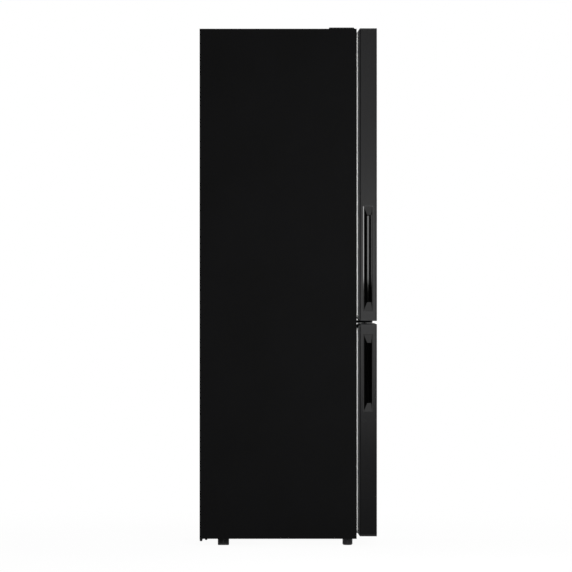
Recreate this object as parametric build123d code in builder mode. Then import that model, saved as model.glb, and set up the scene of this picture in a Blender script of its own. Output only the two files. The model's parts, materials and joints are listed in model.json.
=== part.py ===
from build123d import *

import os

# Two-door refrigerator with the freezer below, in millimetres. X runs to the right seen from
# the front, Y to the back and Z up. The origin is on the floor, under the middle of it.

os.makedirs("parts", exist_ok=True)

# Outside of the appliance
WIDTH = 595.0
DEPTH = 635.0
CABINET_TOP = 1850.0
CABINET_BOTTOM = 23.0

# Doors
DOOR_BODY = 62.0
DOOR_FRAME = 5.9
GASKET_GAP = 4.6
DOOR_RISE = 1.5
DOOR_GAP = 11.5
FREEZER_DOOR_BOTTOM = 32.0
FREEZER_DOOR_TOP = 792.0
DOOR_EDGE_RADIUS = 4.0
DOOR_CAP = 6.0
CAP_TONGUE = 12.0
CAP_EDGE_RADIUS = 1.5
DOOR_RETURN = 12.0
FRAME_SIDE_INSET = 1.2
FRAME_END = 10.5
FRAME_SLOPE = 10.0
FRAME_EDGE_RADIUS = 2.0
GASKET_SIDE_INSET = 14.5
GASKET_END_INSET = 11.0
GASKET_WIDTH = 16.0
GASKET_CLEARANCE = 0.3

# Recessed side grips, measured back from the door front and up from the floor
GRIP_FRONT = 17.2
GRIP_BACK = 46.2
GRIP_RIM = 3.5
GRIP_RIM_DEPTH = 1.3
GRIP_LAND = 0.3
GRIP_FRONT_SLOPE = 3.8
GRIP_BACK_SLOPE = 11.8
GRIP_END_SLOPE = 28.0
GRIP_BOWL_DEPTH = 24.0
GRIP_CHANNEL_DEPTH = 10.0
GRIP_CHANNEL_TILT = 2.5
GRIP_LEDGE_WIDTH = 5.8
GRIP_LEDGE_GAP = 3.5
GRIP_FLOOR = 4.0
GRIP_EDGE_RADIUS = 1.0
FRIDGE_GRIP_BOTTOM = 842.7
FRIDGE_GRIP_TOP = 1211.5
FREEZER_GRIP_BOTTOM = 481.0
FREEZER_GRIP_TOP = 753.0

# Sheet and moulding thicknesses
SHEET = 0.8
LINER = 1.6
MOULDING = 2.4
GLASS = 4.0
SHELL_RADIUS = 3.0
PANEL_RECESS = 2.0
SEAT = 0.3

# Cabinet walls, from the outside to the inside of the liners
FRIDGE_WALL = 45.0
FREEZER_WALL = 58.0
TOP_WALL = 55.0
BACK_WALL = 52.0
FREEZER_FLOOR_WALL = 66.0
DIVIDER = 74.0
FLANGE = 32.0
BASE_FLANGE = 48.0
MULLION_LAP = 5.0
ROOM_RADIUS = 14.0

# Compressor chamber at the lower back
CHAMBER_DEPTH = 215.0
CHAMBER_HEIGHT = 225.0
CHAMBER_WALL = 50.0

# Door hinges on the right
HINGE_SIDE_INSET = 14.0
HINGE_FRONT_INSET = 36.0
PIN_RADIUS = 4.0
PIN_FIT = 0.05
PIN_REACH = 12.0
PIN_COLLAR_RADIUS = 9.0
COLLAR_CLEARANCE = 0.3
ARM_RADIUS = 12.0
TOP_ARM = 3.0
TOP_ARM_CLEARANCE = 1.0
TOP_HINGE_LENGTH = 78.0
TOP_HINGE_WIDTH = 40.0
TOP_SCREW_SHARES = (0.3, 0.5, 0.7)
PLATE_SCREW_SHARES = (0.2, 0.8)
MIDDLE_ARM = 10.5
MIDDLE_ARM_SETBACK = 7.0
MIDDLE_ARM_RADIUS = 8.0
MIDDLE_PLATE = 2.5
MIDDLE_PLATE_WIDTH = 44.0
MIDDLE_PLATE_MARGIN = 1.0
BOTTOM_ARM = 4.0
BOTTOM_PLATE_WIDTH = 48.0
BOTTOM_PLATE_BACK = 14.0
SCREW_HEAD_RADIUS = 5.0
SCREW_HEAD = 3.5
FLUSH_SCREW_RADIUS = 4.0
SCREW_FIT = 0.1

# Covers on the cabinet top
HINGE_COVER_HEIGHT = 12.0
HINGE_COVER_LENGTH = 93.0
HINGE_COVER_WIDTH = 62.0
HINGE_COVER_SETBACK = 7.5
HOLE_COVER_HEIGHT = 4.5
COVER_SLOPE = 3.0
COVER_SIDE_INSET = 3.0

# Feet
FRONT_FOOT_SETBACK = 32.6
FOOT_SIDE_INSET = 36.0
PAD_RADIUS = 18.0
PAD_CHAMFER = 3.6
PAD_TOP_GAP = 0.8
PAD_DISH_RADIUS = 8.0
PAD_DISH = 1.2
STUD_RADIUS = 5.0
STUD_FIT = 0.05
STUD_SOCKET = 13.0
BOSS_RADIUS = 9.0
BOSS_HEIGHT = 30.0
REAR_FOOT_SETBACK = 85.0
REAR_FOOT_LENGTH = 40.0
REAR_FOOT_WIDTH = 30.0
REAR_FOOT_RADIUS = 3.0
REAR_FOOT_WALL = 5.0
REAR_FOOT_POCKET = 12.0
REAR_FOOT_BASE = 8.0

# Compressor chamber contents
TRAY_SHEET = 2.0
TRAY_LIP_DEPTH = 9.9
TRAY_LIP_DROP = 8.2
TRAY_LIP_SLANT = 0.9
TRAY_BEAD_SETBACK = 23.3
TRAY_BEAD_WIDTH = 7.6
TRAY_BEAD_DROP = 4.0
REAR_COVER_SHEET = 1.2
REAR_COVER_GAP = 0.8
VENT_LENGTH = 70.0
VENT_WIDTH = 5.0
VENT_PITCH = 13.0
VENT_COUNT = 17
VENT_ROW_PITCH = 90.0
COMPRESSOR_X = 70.0
COMPRESSOR_LENGTH = 190.0
COMPRESSOR_BREADTH = 140.0
COMPRESSOR_HEIGHT = 140.0
COMPRESSOR_ROUNDING = 28.0
COMPRESSOR_PLATE = 3.0
COMPRESSOR_SETBACK = 104.0
TERMINAL_BOX = 54.0
TERMINAL_REACH = 24.0
STUB_RADIUS = 6.0
STUB_REACH = 18.0
STUB_SPACING = 52.0
STUB_LOW = 62.0
GROMMET_RADIUS = 11.0
GROMMET_HEIGHT = 16.0
GROMMET_SPAN_X = 170.0
GROMMET_SPAN_Y = 90.0
LINE_RADIUS = 4.0
LINE_BEND = 18.0
LINE_RUN = 34.0
DRIER_RADIUS = 9.0
DRIER_LENGTH = 70.0
DRIER_RISE = 44.0
PAN_LENGTH = 170.0
PAN_BREADTH = 120.0
PAN_HEIGHT = 24.0

# Cold parts behind the freezer
COLD_SPACE = 74.0
AIR_PANEL = 6.0
FIN_COUNT = 21
FIN_THICKNESS = 0.8
FIN_DEPTH = 48.0
FIN_HEIGHT = 190.0
COIL_WIDTH = 360.0
COIL_END_PLATE = 2.0
COIL_TUBE_RADIUS = 4.0
COIL_COLUMNS = 2
COIL_ROWS = 5
FAN_HEIGHT = 140.0
FAN_RADIUS = 50.0
FAN_HUB_RADIUS = 14.0
FAN_DEPTH = 16.0
FAN_BLADES = 5
BLADE_THICKNESS = 1.6
BLADE_WIDTH = 26.0
BLADE_TILT = 32.0
MOTOR_RADIUS = 24.0
MOTOR_LENGTH = 34.0
SHAFT_RADIUS = 2.5
SHAFT_FIT = 0.05
FAN_RUN_GAP = 3.0
PANEL_SLOT_LENGTH = 90.0
PANEL_SLOT_WIDTH = 7.0
PANEL_SLOT_PITCH = 16.0
PANEL_SLOT_COUNT = 6

# Fridge room contents
DUCT_WIDTH = 210.0
DUCT_DEPTH = 26.0
DUCT_END_GAP = 40.0
DUCT_SLOT_LENGTH = 46.0
DUCT_SLOT_WIDTH = 9.0
SHELF_BIN_GAP = 11.5
SHELF_BACK_GAP = 10.0
SHELF_SIDE_GAP = 2.0
SHELF_TRIM_DEPTH = 13.0
SHELF_TRIM_OVER = 5.0
SHELF_TRIM_UNDER = 7.0
LEDGE_WIDTH = 12.0
LEDGE_HEIGHT = 8.0
LEDGE_GAP = 3.0
CRISPER_SHELF_HEIGHT = 196.0
TOP_SHELF_DROP = 200.25
SHELF_NAMES = ("bottom_shelf", "middle_shelf", "top_shelf")
CRISPER_SETBACK = 8.0
CRISPER_BACK_GAP = 14.0
CRISPER_TOP_GAP = 12.0
CRISPER_SIDE_GAP = 14.0
SLIDER_LENGTH = 26.0
SLIDER_TRAVEL = 40.0
SLIDER_HEIGHT = 5.0
SLIDER_DEPTH = 7.0
CONTROL_WIDTH = 220.0
CONTROL_HEIGHT = 30.0
CONTROL_SETBACK = 56.0
CONTROL_DEPTH = 130.0
CONTROL_RADIUS = 6.0
LENS_WIDTH = 150.0
LENS_DEPTH = 60.0
LENS_THICKNESS = 5.0
LENS_BACK_INSET = 14.0
LENS_DROP = 2.0
KNOB_RADIUS = 13.0
KNOB_DEPTH = 13.0
KNOB_OFFSET = 62.0
KNOB_GAP = 0.6
KNOB_GRIP_WIDTH = 6.0
KNOB_GRIP_HEIGHT = 3.0
SPINDLE_RADIUS = 3.0
SPINDLE_REACH = 9.0
SPINDLE_FIT = 0.05

# Door liners and bins
FRIDGE_RIDGE_DEPTH = 40.0
FREEZER_RIDGE_DEPTH = 14.0
RIDGE_WIDTH = 20.0
RIDGE_GAP = 14.0
RIDGE_RADIUS = 5.0
BIN_REACH = 112.0
BIN_SEAT = 0.3
BIN_RADIUS = 10.0
BIN_HEIGHTS = (150.0, 92.0, 92.0)
BOTTLE_BIN_RISE = 6.0
TOP_BIN_DROP = 226.0
BIN_NAMES = ("bottle_bin", "middle_bin", "top_bin")

# Freezer room contents
DRAWER_SIDE_GAP = 21.5
DRAWER_DOOR_GAP = 23.5
DRAWER_BACK_GAP = 10.0
DRAWER_TOP_GAP = 14.0
DRAWER_FRONT_WALL = 14.0
DRAWER_GRIP_WIDTH = 150.0
DRAWER_GRIP_HEIGHT = 26.0
DRAWER_GRIP_DEPTH = 9.0
DRAWER_RADIUS = 6.0
FREEZER_SHELF_RISES = (222.0, 450.0)
FREEZER_SHELF_SETBACK = 9.0
DRAWER_NAMES = ("lower_freezer_drawer", "middle_freezer_drawer", "upper_freezer_drawer")

# Places worked out from the sizes above
HALF = WIDTH / 2
FRONT = -DEPTH / 2
BACK = DEPTH / 2
DOOR_BODY_BACK = FRONT + DOOR_BODY
DOOR_BACK = DOOR_BODY_BACK + DOOR_FRAME
CABINET_FRONT = DOOR_BACK + GASKET_GAP
FREEZER_DOOR = (FREEZER_DOOR_BOTTOM, FREEZER_DOOR_TOP)
FRIDGE_DOOR = (FREEZER_DOOR_TOP + DOOR_GAP, CABINET_TOP + DOOR_RISE)
GAP_MIDDLE = FREEZER_DOOR_TOP + DOOR_GAP / 2
FRIDGE_FLOOR = GAP_MIDDLE + DIVIDER / 2
FRIDGE_CEILING = CABINET_TOP - TOP_WALL
FREEZER_FLOOR = CABINET_BOTTOM + FREEZER_FLOOR_WALL
FREEZER_CEILING = GAP_MIDDLE - DIVIDER / 2
FRIDGE_HALF = HALF - FRIDGE_WALL
FREEZER_HALF = HALF - FREEZER_WALL
PANEL_BACK = BACK - PANEL_RECESS
ROOM_BACK = BACK - BACK_WALL
CHAMBER_FRONT = BACK - CHAMBER_DEPTH
CHAMBER_TOP = CABINET_BOTTOM + CHAMBER_HEIGHT
STEP_FRONT = CHAMBER_FRONT - CHAMBER_WALL
STEP_TOP = CHAMBER_TOP + CHAMBER_WALL
HINGE_X = HALF - HINGE_SIDE_INSET
HINGE_Y = FRONT + HINGE_FRONT_INSET
FRONT_FOOT_Y = CABINET_FRONT + FRONT_FOOT_SETBACK
FOOT_X = HALF - FOOT_SIDE_INSET
TRAY_TOP = CABINET_BOTTOM + TRAY_SHEET
COMPRESSOR_Y = BACK - COMPRESSOR_SETBACK
COMPRESSOR_BOTTOM = TRAY_TOP + GROMMET_HEIGHT
COMPRESSOR_TOP = COMPRESSOR_BOTTOM + COMPRESSOR_PLATE + COMPRESSOR_HEIGHT
AIR_PANEL_BACK = ROOM_BACK - COLD_SPACE
AIR_PANEL_FRONT = AIR_PANEL_BACK - AIR_PANEL
FAN_Z = FREEZER_CEILING - FAN_HEIGHT
CRISPER_SHELF_Z = FRIDGE_FLOOR + CRISPER_SHELF_HEIGHT
SHELF_PITCH = (FRIDGE_CEILING - TOP_SHELF_DROP - CRISPER_SHELF_Z) / len(SHELF_NAMES)
SHELF_FRONT = DOOR_BACK + BIN_REACH + SHELF_BIN_GAP
SHELF_BACK = ROOM_BACK - DUCT_DEPTH - SHELF_BACK_GAP
CRISPER_FRONT = SHELF_FRONT + CRISPER_SETBACK
CONTROL_FRONT = CABINET_FRONT + CONTROL_SETBACK
DRAWER_HALF_WIDTH = FREEZER_HALF - DRAWER_SIDE_GAP
DRAWER_FRONT = DOOR_BACK + FREEZER_RIDGE_DEPTH + DRAWER_DOOR_GAP
FREEZER_SHELF_FRONT = DRAWER_FRONT + FREEZER_SHELF_SETBACK
SHELF_HALF = FRIDGE_HALF - SHELF_SIDE_GAP
SHELF_LEVELS = [CRISPER_SHELF_Z + SHELF_PITCH * step for step in range(len(SHELF_NAMES) + 1)]
FREEZER_SHELF_LEVELS = [FREEZER_FLOOR + rise for rise in FREEZER_SHELF_RISES]
FREEZER_SHELF_BACK = AIR_PANEL_FRONT - SEAT
KNOB_Z = FRIDGE_CEILING - CONTROL_HEIGHT / 2


def facing(depth, x=0, z=0):
    """Sketch plane seen from the front at this depth; extrusion runs towards the front."""
    return Plane((x, depth, z), x_dir=(1, 0, 0), z_dir=(0, -1, 0))


def block(x, y, z, mode=Mode.ADD):
    """Box between two limits along each axis."""
    centre = ((x[0] + x[1]) / 2, (y[0] + y[1]) / 2, (z[0] + z[1]) / 2)
    with Locations(centre):
        Box(x[1] - x[0], y[1] - y[0], z[1] - z[0], mode=mode)


def rod(plane, radius, length, mode=Mode.ADD):
    """Cylinder that starts on a plane and runs along its normal."""
    with Locations(plane):
        Cylinder(radius, length, align=(Align.CENTER, Align.CENTER, Align.MIN), mode=mode)


def upright(x, y, z, radius, height, mode=Mode.ADD):
    """Vertical cylinder standing on a height."""
    rod(Plane((x, y, z)), radius, height, mode)


def keep(part, name):
    """Labels a finished piece and writes it."""
    part.label = name
    export_step(part, f"parts/{name}.step")


def room(half_width, floor, ceiling, grow, step=None):
    """Space of a cold room, open past the cabinet front, grown by a liner's thickness."""
    radius = ROOM_RADIUS + grow
    with BuildPart() as space:
        with BuildSketch(facing(ROOM_BACK + grow)):
            with Locations((0, (floor + ceiling) / 2)):
                RectangleRounded(2 * (half_width + grow), ceiling - floor + 2 * grow, radius)
        extrude(amount=ROOM_BACK + grow - FRONT)
        fillet(space.faces().sort_by(Axis.Y)[-1].edges(), radius)
        if step:
            block((-HALF, HALF), (step[0] - grow, BACK), (0, step[1] - grow), Mode.SUBTRACT)
    return space.part


def liner(space, inside, flange, ledges):
    """Thermoformed room liner with its front flange and the ledges along its side walls."""
    with BuildPart() as shell:
        add(space)
        block((FLANGE - HALF, HALF - FLANGE), (CABINET_FRONT, CABINET_FRONT + LINER), flange)
        block((-HALF, HALF), (FRONT, CABINET_FRONT), (0, CABINET_TOP), Mode.SUBTRACT)
        add(inside, mode=Mode.SUBTRACT)
        for side, (half_width, width, y, top) in [(s, ledge) for s in (-1, 1) for ledge in ledges]:
            x = sorted((side * (half_width - width), side * (half_width + LINER / 2)))
            block(x, y, (top - LEDGE_HEIGHT, top))
    return shell.part


# Cabinet

with BuildPart() as outer_shell:
    with BuildSketch(facing(BACK)):
        with Locations((0, (CABINET_TOP + CABINET_BOTTOM) / 2)):
            wrap = Rectangle(WIDTH, CABINET_TOP - CABINET_BOTTOM)
        fillet(wrap.vertices().group_by(Axis.Y)[-1], SHELL_RADIUS)
    extrude(amount=BACK - CABINET_FRONT)
    with BuildSketch(facing(BACK)):
        with Locations((0, (CABINET_TOP + CABINET_BOTTOM) / 2 - SHEET)):
            lining = Rectangle(WIDTH - 2 * SHEET, CABINET_TOP - CABINET_BOTTOM)
        fillet(lining.vertices().group_by(Axis.Y)[-1], SHELL_RADIUS - SHEET)
    extrude(amount=BACK - CABINET_FRONT - SHEET, mode=Mode.SUBTRACT)
    block(
        (FLANGE - HALF, HALF - FLANGE),
        (FRONT, CABINET_FRONT + SHEET),
        (0, CABINET_TOP - FLANGE),
        Mode.SUBTRACT,
    )
keep(outer_shell.part, "outer_shell")

with BuildPart() as back_panel:
    with BuildSketch(facing(PANEL_BACK)):
        with Locations((0, (CABINET_TOP - SHEET + CHAMBER_TOP) / 2)):
            sheet = Rectangle(WIDTH - 2 * SHEET, CABINET_TOP - SHEET - CHAMBER_TOP)
        fillet(sheet.vertices().group_by(Axis.Y)[-1], SHELL_RADIUS - SHEET)
    extrude(amount=SHEET)
keep(back_panel.part, "back_panel")

with BuildPart() as base_pan:
    across = (SHEET - HALF, HALF - SHEET)
    block(across, (CABINET_FRONT + SHEET, CHAMBER_FRONT + SHEET), (CABINET_BOTTOM, CABINET_BOTTOM + SHEET))
    block(across, (CHAMBER_FRONT, CHAMBER_FRONT + SHEET), (CABINET_BOTTOM, CHAMBER_TOP))
    block(across, (CHAMBER_FRONT, PANEL_BACK), (CHAMBER_TOP - SHEET, CHAMBER_TOP))
    for side in (-1, 1):
        cheek_x = sorted((side * (HALF - SHEET), side * (HALF - 2 * SHEET)))
        block(cheek_x, (CHAMBER_FRONT, BACK), (CABINET_BOTTOM, CHAMBER_TOP))
    block(
        (FLANGE - HALF, HALF - FLANGE),
        (CABINET_FRONT, CABINET_FRONT + SHEET),
        (CABINET_BOTTOM, CABINET_BOTTOM + BASE_FLANGE),
    )
    for side in (-1, 1):
        upright(side * FOOT_X, FRONT_FOOT_Y, CABINET_BOTTOM, BOSS_RADIUS, BOSS_HEIGHT)
        bore = STUD_RADIUS + STUD_FIT
        upright(side * FOOT_X, FRONT_FOOT_Y, CABINET_BOTTOM, bore, BOSS_HEIGHT, Mode.SUBTRACT)
keep(base_pan.part, "base_pan")

with BuildPart() as mullion_rail:
    block(
        (FLANGE - HALF, HALF - FLANGE),
        (CABINET_FRONT, CABINET_FRONT + LINER),
        (FREEZER_CEILING + MULLION_LAP, FRIDGE_FLOOR - MULLION_LAP),
    )
keep(mullion_rail.part, "mullion_rail")

freezer_step = (STEP_FRONT, STEP_TOP)
fridge_room = room(FRIDGE_HALF, FRIDGE_FLOOR, FRIDGE_CEILING, 0)
fridge_room_outside = room(FRIDGE_HALF, FRIDGE_FLOOR, FRIDGE_CEILING, LINER)
freezer_room = room(FREEZER_HALF, FREEZER_FLOOR, FREEZER_CEILING, 0, freezer_step)
freezer_room_outside = room(FREEZER_HALF, FREEZER_FLOOR, FREEZER_CEILING, LINER, freezer_step)

with BuildPart() as cabinet_foam:
    with BuildSketch(facing(PANEL_BACK - SHEET)):
        with Locations((0, (CABINET_TOP + CABINET_BOTTOM) / 2)):
            fill = Rectangle(WIDTH - 2 * SHEET, CABINET_TOP - CABINET_BOTTOM - 2 * SHEET)
        fillet(fill.vertices().group_by(Axis.Y)[-1], SHELL_RADIUS - SHEET)
    extrude(amount=PANEL_BACK - SHEET - CABINET_FRONT - LINER)
    block((-HALF, HALF), (CHAMBER_FRONT, BACK), (0, CHAMBER_TOP), Mode.SUBTRACT)
    add(fridge_room_outside, mode=Mode.SUBTRACT)
    add(freezer_room_outside, mode=Mode.SUBTRACT)
    for side in (-1, 1):
        upright(side * FOOT_X, FRONT_FOOT_Y, CABINET_BOTTOM, BOSS_RADIUS, BOSS_HEIGHT, Mode.SUBTRACT)
keep(cabinet_foam.part, "cabinet_foam")

shelf_ledge_y = (
    SHELF_FRONT + SHELF_TRIM_DEPTH + LEDGE_GAP,
    SHELF_BACK - SHELF_TRIM_DEPTH - LEDGE_GAP,
)
fridge_ledges = [(FRIDGE_HALF, LEDGE_WIDTH, shelf_ledge_y, level) for level in SHELF_LEVELS]
fridge_liner = liner(
    fridge_room_outside,
    fridge_room,
    (FRIDGE_FLOOR - MULLION_LAP, CABINET_TOP - FLANGE),
    fridge_ledges,
)
keep(fridge_liner, "fridge_liner")

freezer_ledge_y = (FREEZER_SHELF_FRONT + LEDGE_GAP, FREEZER_SHELF_BACK - LEDGE_GAP)
freezer_ledge_width = FREEZER_HALF - DRAWER_HALF_WIDTH - LEDGE_GAP
freezer_ledges = [
    (FREEZER_HALF, freezer_ledge_width, freezer_ledge_y, level - GLASS) for level in FREEZER_SHELF_LEVELS
]
freezer_liner = liner(
    freezer_room_outside,
    freezer_room,
    (CABINET_BOTTOM + BASE_FLANGE, FREEZER_CEILING + MULLION_LAP),
    freezer_ledges,
)
keep(freezer_liner, "freezer_liner")

# Hinges on the right, their screws and the covers on top

arm_middle_bottom = GAP_MIDDLE - MIDDLE_ARM / 2
arm_middle_top = GAP_MIDDLE + MIDDLE_ARM / 2
top_arm_bottom = FRIDGE_DOOR[1] + TOP_ARM_CLEARANCE
top_arm_top = top_arm_bottom + TOP_ARM
top_hinge_x = (HINGE_X - TOP_HINGE_WIDTH + PIN_RADIUS, HINGE_X + PIN_RADIUS)
top_screw_columns = (top_hinge_x[1] - PIN_COLLAR_RADIUS, top_hinge_x[0] + PIN_COLLAR_RADIUS)
top_screw_places = [
    (x, CABINET_FRONT + TOP_HINGE_LENGTH * share)
    for x, share in zip(top_screw_columns * 2, TOP_SCREW_SHARES)
]

with BuildPart() as top_hinge:
    block(top_hinge_x, (CABINET_FRONT, CABINET_FRONT + TOP_HINGE_LENGTH), (CABINET_TOP, top_arm_top))
    block(
        (HINGE_X - ARM_RADIUS, HINGE_X + ARM_RADIUS),
        (HINGE_Y, CABINET_FRONT),
        (top_arm_bottom, top_arm_top),
    )
    upright(HINGE_X, HINGE_Y, top_arm_bottom, ARM_RADIUS, TOP_ARM)
    upright(HINGE_X, HINGE_Y, top_arm_bottom - PIN_REACH, PIN_RADIUS, PIN_REACH)
keep(top_hinge.part, "top_hinge")

middle_plate_z = (
    FREEZER_DOOR_TOP - GASKET_END_INSET + MIDDLE_PLATE_MARGIN,
    FRIDGE_DOOR[0] + GASKET_END_INSET - MIDDLE_PLATE_MARGIN,
)
middle_plate_x = (HINGE_X + ARM_RADIUS - MIDDLE_PLATE_WIDTH, HINGE_X + ARM_RADIUS)
middle_screw_places = [
    (middle_plate_x[0] + MIDDLE_PLATE_WIDTH * share, middle_plate_z[0] + FLUSH_SCREW_RADIUS + SCREW_HEAD)
    for share in PLATE_SCREW_SHARES
]
collar_height = (DOOR_GAP - MIDDLE_ARM) / 2 - COLLAR_CLEARANCE

with BuildPart() as middle_hinge:
    block(middle_plate_x, (CABINET_FRONT - MIDDLE_PLATE, CABINET_FRONT), middle_plate_z)
    block(
        (HINGE_X - ARM_RADIUS, HINGE_X + ARM_RADIUS),
        (FRONT + MIDDLE_ARM_SETBACK, CABINET_FRONT - MIDDLE_PLATE),
        (arm_middle_bottom, arm_middle_top),
    )
    fillet(middle_hinge.edges().filter_by(Axis.Z).group_by(Axis.Y)[0], MIDDLE_ARM_RADIUS)
    collar_length = MIDDLE_ARM + 2 * collar_height
    upright(HINGE_X, HINGE_Y, arm_middle_bottom - collar_height, PIN_COLLAR_RADIUS, collar_length)
    upright(HINGE_X, HINGE_Y, FREEZER_DOOR_TOP - PIN_REACH, PIN_RADIUS, DOOR_GAP + 2 * PIN_REACH)
    for x, z in middle_screw_places:
        rod(facing(CABINET_FRONT, x, z), FLUSH_SCREW_RADIUS, MIDDLE_PLATE, Mode.SUBTRACT)
keep(middle_hinge.part, "middle_hinge")

bottom_plate_x = (HINGE_X + ARM_RADIUS - BOTTOM_PLATE_WIDTH, HINGE_X + ARM_RADIUS)
bottom_arm_z = (CABINET_BOTTOM - BOTTOM_ARM, CABINET_BOTTOM)
bottom_screw_places = [
    (bottom_plate_x[0] + BOTTOM_PLATE_WIDTH * share, CABINET_FRONT + BOTTOM_PLATE_BACK / 2)
    for share in PLATE_SCREW_SHARES
]

with BuildPart() as bottom_hinge:
    block(bottom_plate_x, (CABINET_FRONT, CABINET_FRONT + BOTTOM_PLATE_BACK), bottom_arm_z)
    block((HINGE_X - ARM_RADIUS, HINGE_X + ARM_RADIUS), (HINGE_Y, CABINET_FRONT), bottom_arm_z)
    upright(HINGE_X, HINGE_Y, bottom_arm_z[0], ARM_RADIUS, BOTTOM_ARM)
    upright(
        HINGE_X,
        HINGE_Y,
        CABINET_BOTTOM,
        PIN_COLLAR_RADIUS,
        FREEZER_DOOR_BOTTOM - COLLAR_CLEARANCE - CABINET_BOTTOM,
    )
    upright(HINGE_X, HINGE_Y, CABINET_BOTTOM, PIN_RADIUS, FREEZER_DOOR_BOTTOM + PIN_REACH - CABINET_BOTTOM)
keep(bottom_hinge.part, "bottom_hinge")

with BuildPart() as hinge_screws:
    for x, y in top_screw_places:
        with BuildSketch(Plane.XY.offset(top_arm_top)):
            with Locations((x, y)):
                RegularPolygon(SCREW_HEAD_RADIUS, 6)
        extrude(amount=SCREW_HEAD)
    for x, z in middle_screw_places:
        rod(facing(CABINET_FRONT, x, z), FLUSH_SCREW_RADIUS - SCREW_FIT, MIDDLE_PLATE)
    for x, y in bottom_screw_places:
        with BuildSketch(Plane.XY.offset(bottom_arm_z[0] - SCREW_HEAD)):
            with Locations((x, y)):
                RegularPolygon(SCREW_HEAD_RADIUS, 6)
        extrude(amount=SCREW_HEAD)
keep(hinge_screws.part, "hinge_screws")


def top_cover(side, height):
    """Low moulded cap on the cabinet top with sloped sides, hollow underneath."""
    x = side * (HALF - COVER_SIDE_INSET - HINGE_COVER_WIDTH / 2)
    y = CABINET_FRONT + HINGE_COVER_SETBACK + HINGE_COVER_LENGTH / 2
    sections = [(CABINET_TOP, 0), (CABINET_TOP + height, COVER_SLOPE)]
    with BuildPart() as cover:
        for shrink in (0, MOULDING):
            for level, slope in sections:
                with BuildSketch(Plane.XY.offset(level - shrink)):
                    with Locations((x, y)):
                        Rectangle(
                            HINGE_COVER_WIDTH - 2 * (slope + shrink),
                            HINGE_COVER_LENGTH - 2 * (slope + shrink),
                        )
            loft(mode=Mode.SUBTRACT if shrink else Mode.ADD)
        block((-HALF, HALF), (FRONT, BACK), (0, CABINET_TOP), Mode.SUBTRACT)
    return cover.part


with BuildPart() as top_hinge_cover:
    add(top_cover(1, HINGE_COVER_HEIGHT))
    block(
        (top_hinge_x[0] - SEAT, top_hinge_x[1] + SEAT),
        (CABINET_FRONT, CABINET_FRONT + HINGE_COVER_SETBACK + COVER_SLOPE + MOULDING),
        (CABINET_TOP, top_arm_top + SEAT),
        Mode.SUBTRACT,
    )
keep(top_hinge_cover.part, "top_hinge_cover")

hinge_hole_cover = top_cover(-1, HOLE_COVER_HEIGHT)
keep(hinge_hole_cover, "hinge_hole_cover")

# Feet

pad_top = CABINET_BOTTOM - PAD_TOP_GAP


def foot_stud(side):
    """Levelling stud that runs in the boss of the base pan."""
    with BuildPart() as stud:
        upright(side * FOOT_X, FRONT_FOOT_Y, pad_top - STUD_SOCKET, STUD_RADIUS, STUD_SOCKET + BOSS_HEIGHT)
    return stud.part


def foot_pad(side):
    """Turning foot with a bevelled, dished sole and a socket for its stud."""
    x = side * FOOT_X
    with BuildPart() as pad:
        upright(x, FRONT_FOOT_Y, 0, PAD_RADIUS, pad_top)
        chamfer(pad.edges().sort_by(Axis.Z)[0], PAD_CHAMFER)
        upright(x, FRONT_FOOT_Y, 0, PAD_DISH_RADIUS, PAD_DISH, Mode.SUBTRACT)
        socket_bottom = pad_top - STUD_SOCKET - SEAT
        upright(x, FRONT_FOOT_Y, socket_bottom, STUD_RADIUS + STUD_FIT, STUD_SOCKET + SEAT, Mode.SUBTRACT)
    return pad.part


for side_name, side in (("left", -1), ("right", 1)):
    keep(foot_stud(side), f"{side_name}_foot_stud")
    keep(foot_pad(side), f"{side_name}_foot_pad")

rear_foot_y = BACK - REAR_FOOT_SETBACK
rear_foot_x = HALF - FOOT_SIDE_INSET

with BuildPart() as rear_feet:
    for side in (-1, 1):
        middle = side * rear_foot_x
        block(
            (middle - REAR_FOOT_WIDTH / 2, middle + REAR_FOOT_WIDTH / 2),
            (rear_foot_y - REAR_FOOT_LENGTH / 2, rear_foot_y + REAR_FOOT_LENGTH / 2),
            (0, CABINET_BOTTOM),
        )
    fillet(rear_feet.edges().filter_by(Axis.X).group_by(Axis.Z)[0], REAR_FOOT_RADIUS)
    for side in (-1, 1):
        outer = side * (rear_foot_x + REAR_FOOT_WIDTH / 2)
        pocket_x = sorted((outer, outer - side * REAR_FOOT_POCKET))
        for half in (-1, 1):
            pocket_end = REAR_FOOT_LENGTH / 2 - REAR_FOOT_WALL
            pocket_y = sorted((rear_foot_y + half * REAR_FOOT_WALL / 2, rear_foot_y + half * pocket_end))
            block(pocket_x, pocket_y, (REAR_FOOT_BASE, CABINET_BOTTOM - SHEET), Mode.SUBTRACT)
keep(rear_feet.part, "rear_feet")

# Compressor chamber

with BuildPart() as compressor_tray:
    tray_x = HALF - 2 * SHEET
    block((-tray_x, tray_x), (CHAMBER_FRONT + SHEET, BACK), (CABINET_BOTTOM, TRAY_TOP))
    with BuildSketch(Plane.YZ.offset(-tray_x)):
        with BuildLine():
            Polyline(
                (BACK, CABINET_BOTTOM),
                (BACK - TRAY_LIP_DEPTH, CABINET_BOTTOM),
                (BACK - TRAY_LIP_DEPTH + TRAY_LIP_SLANT, CABINET_BOTTOM - TRAY_LIP_DROP),
                (BACK - TRAY_LIP_SLANT, CABINET_BOTTOM - TRAY_LIP_DROP),
                close=True,
            )
        make_face()
        with Locations((BACK - TRAY_BEAD_SETBACK, CABINET_BOTTOM - TRAY_BEAD_DROP / 2)):
            Rectangle(TRAY_BEAD_WIDTH, TRAY_BEAD_DROP)
    extrude(amount=2 * tray_x)
keep(compressor_tray.part, "compressor_tray")

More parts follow.
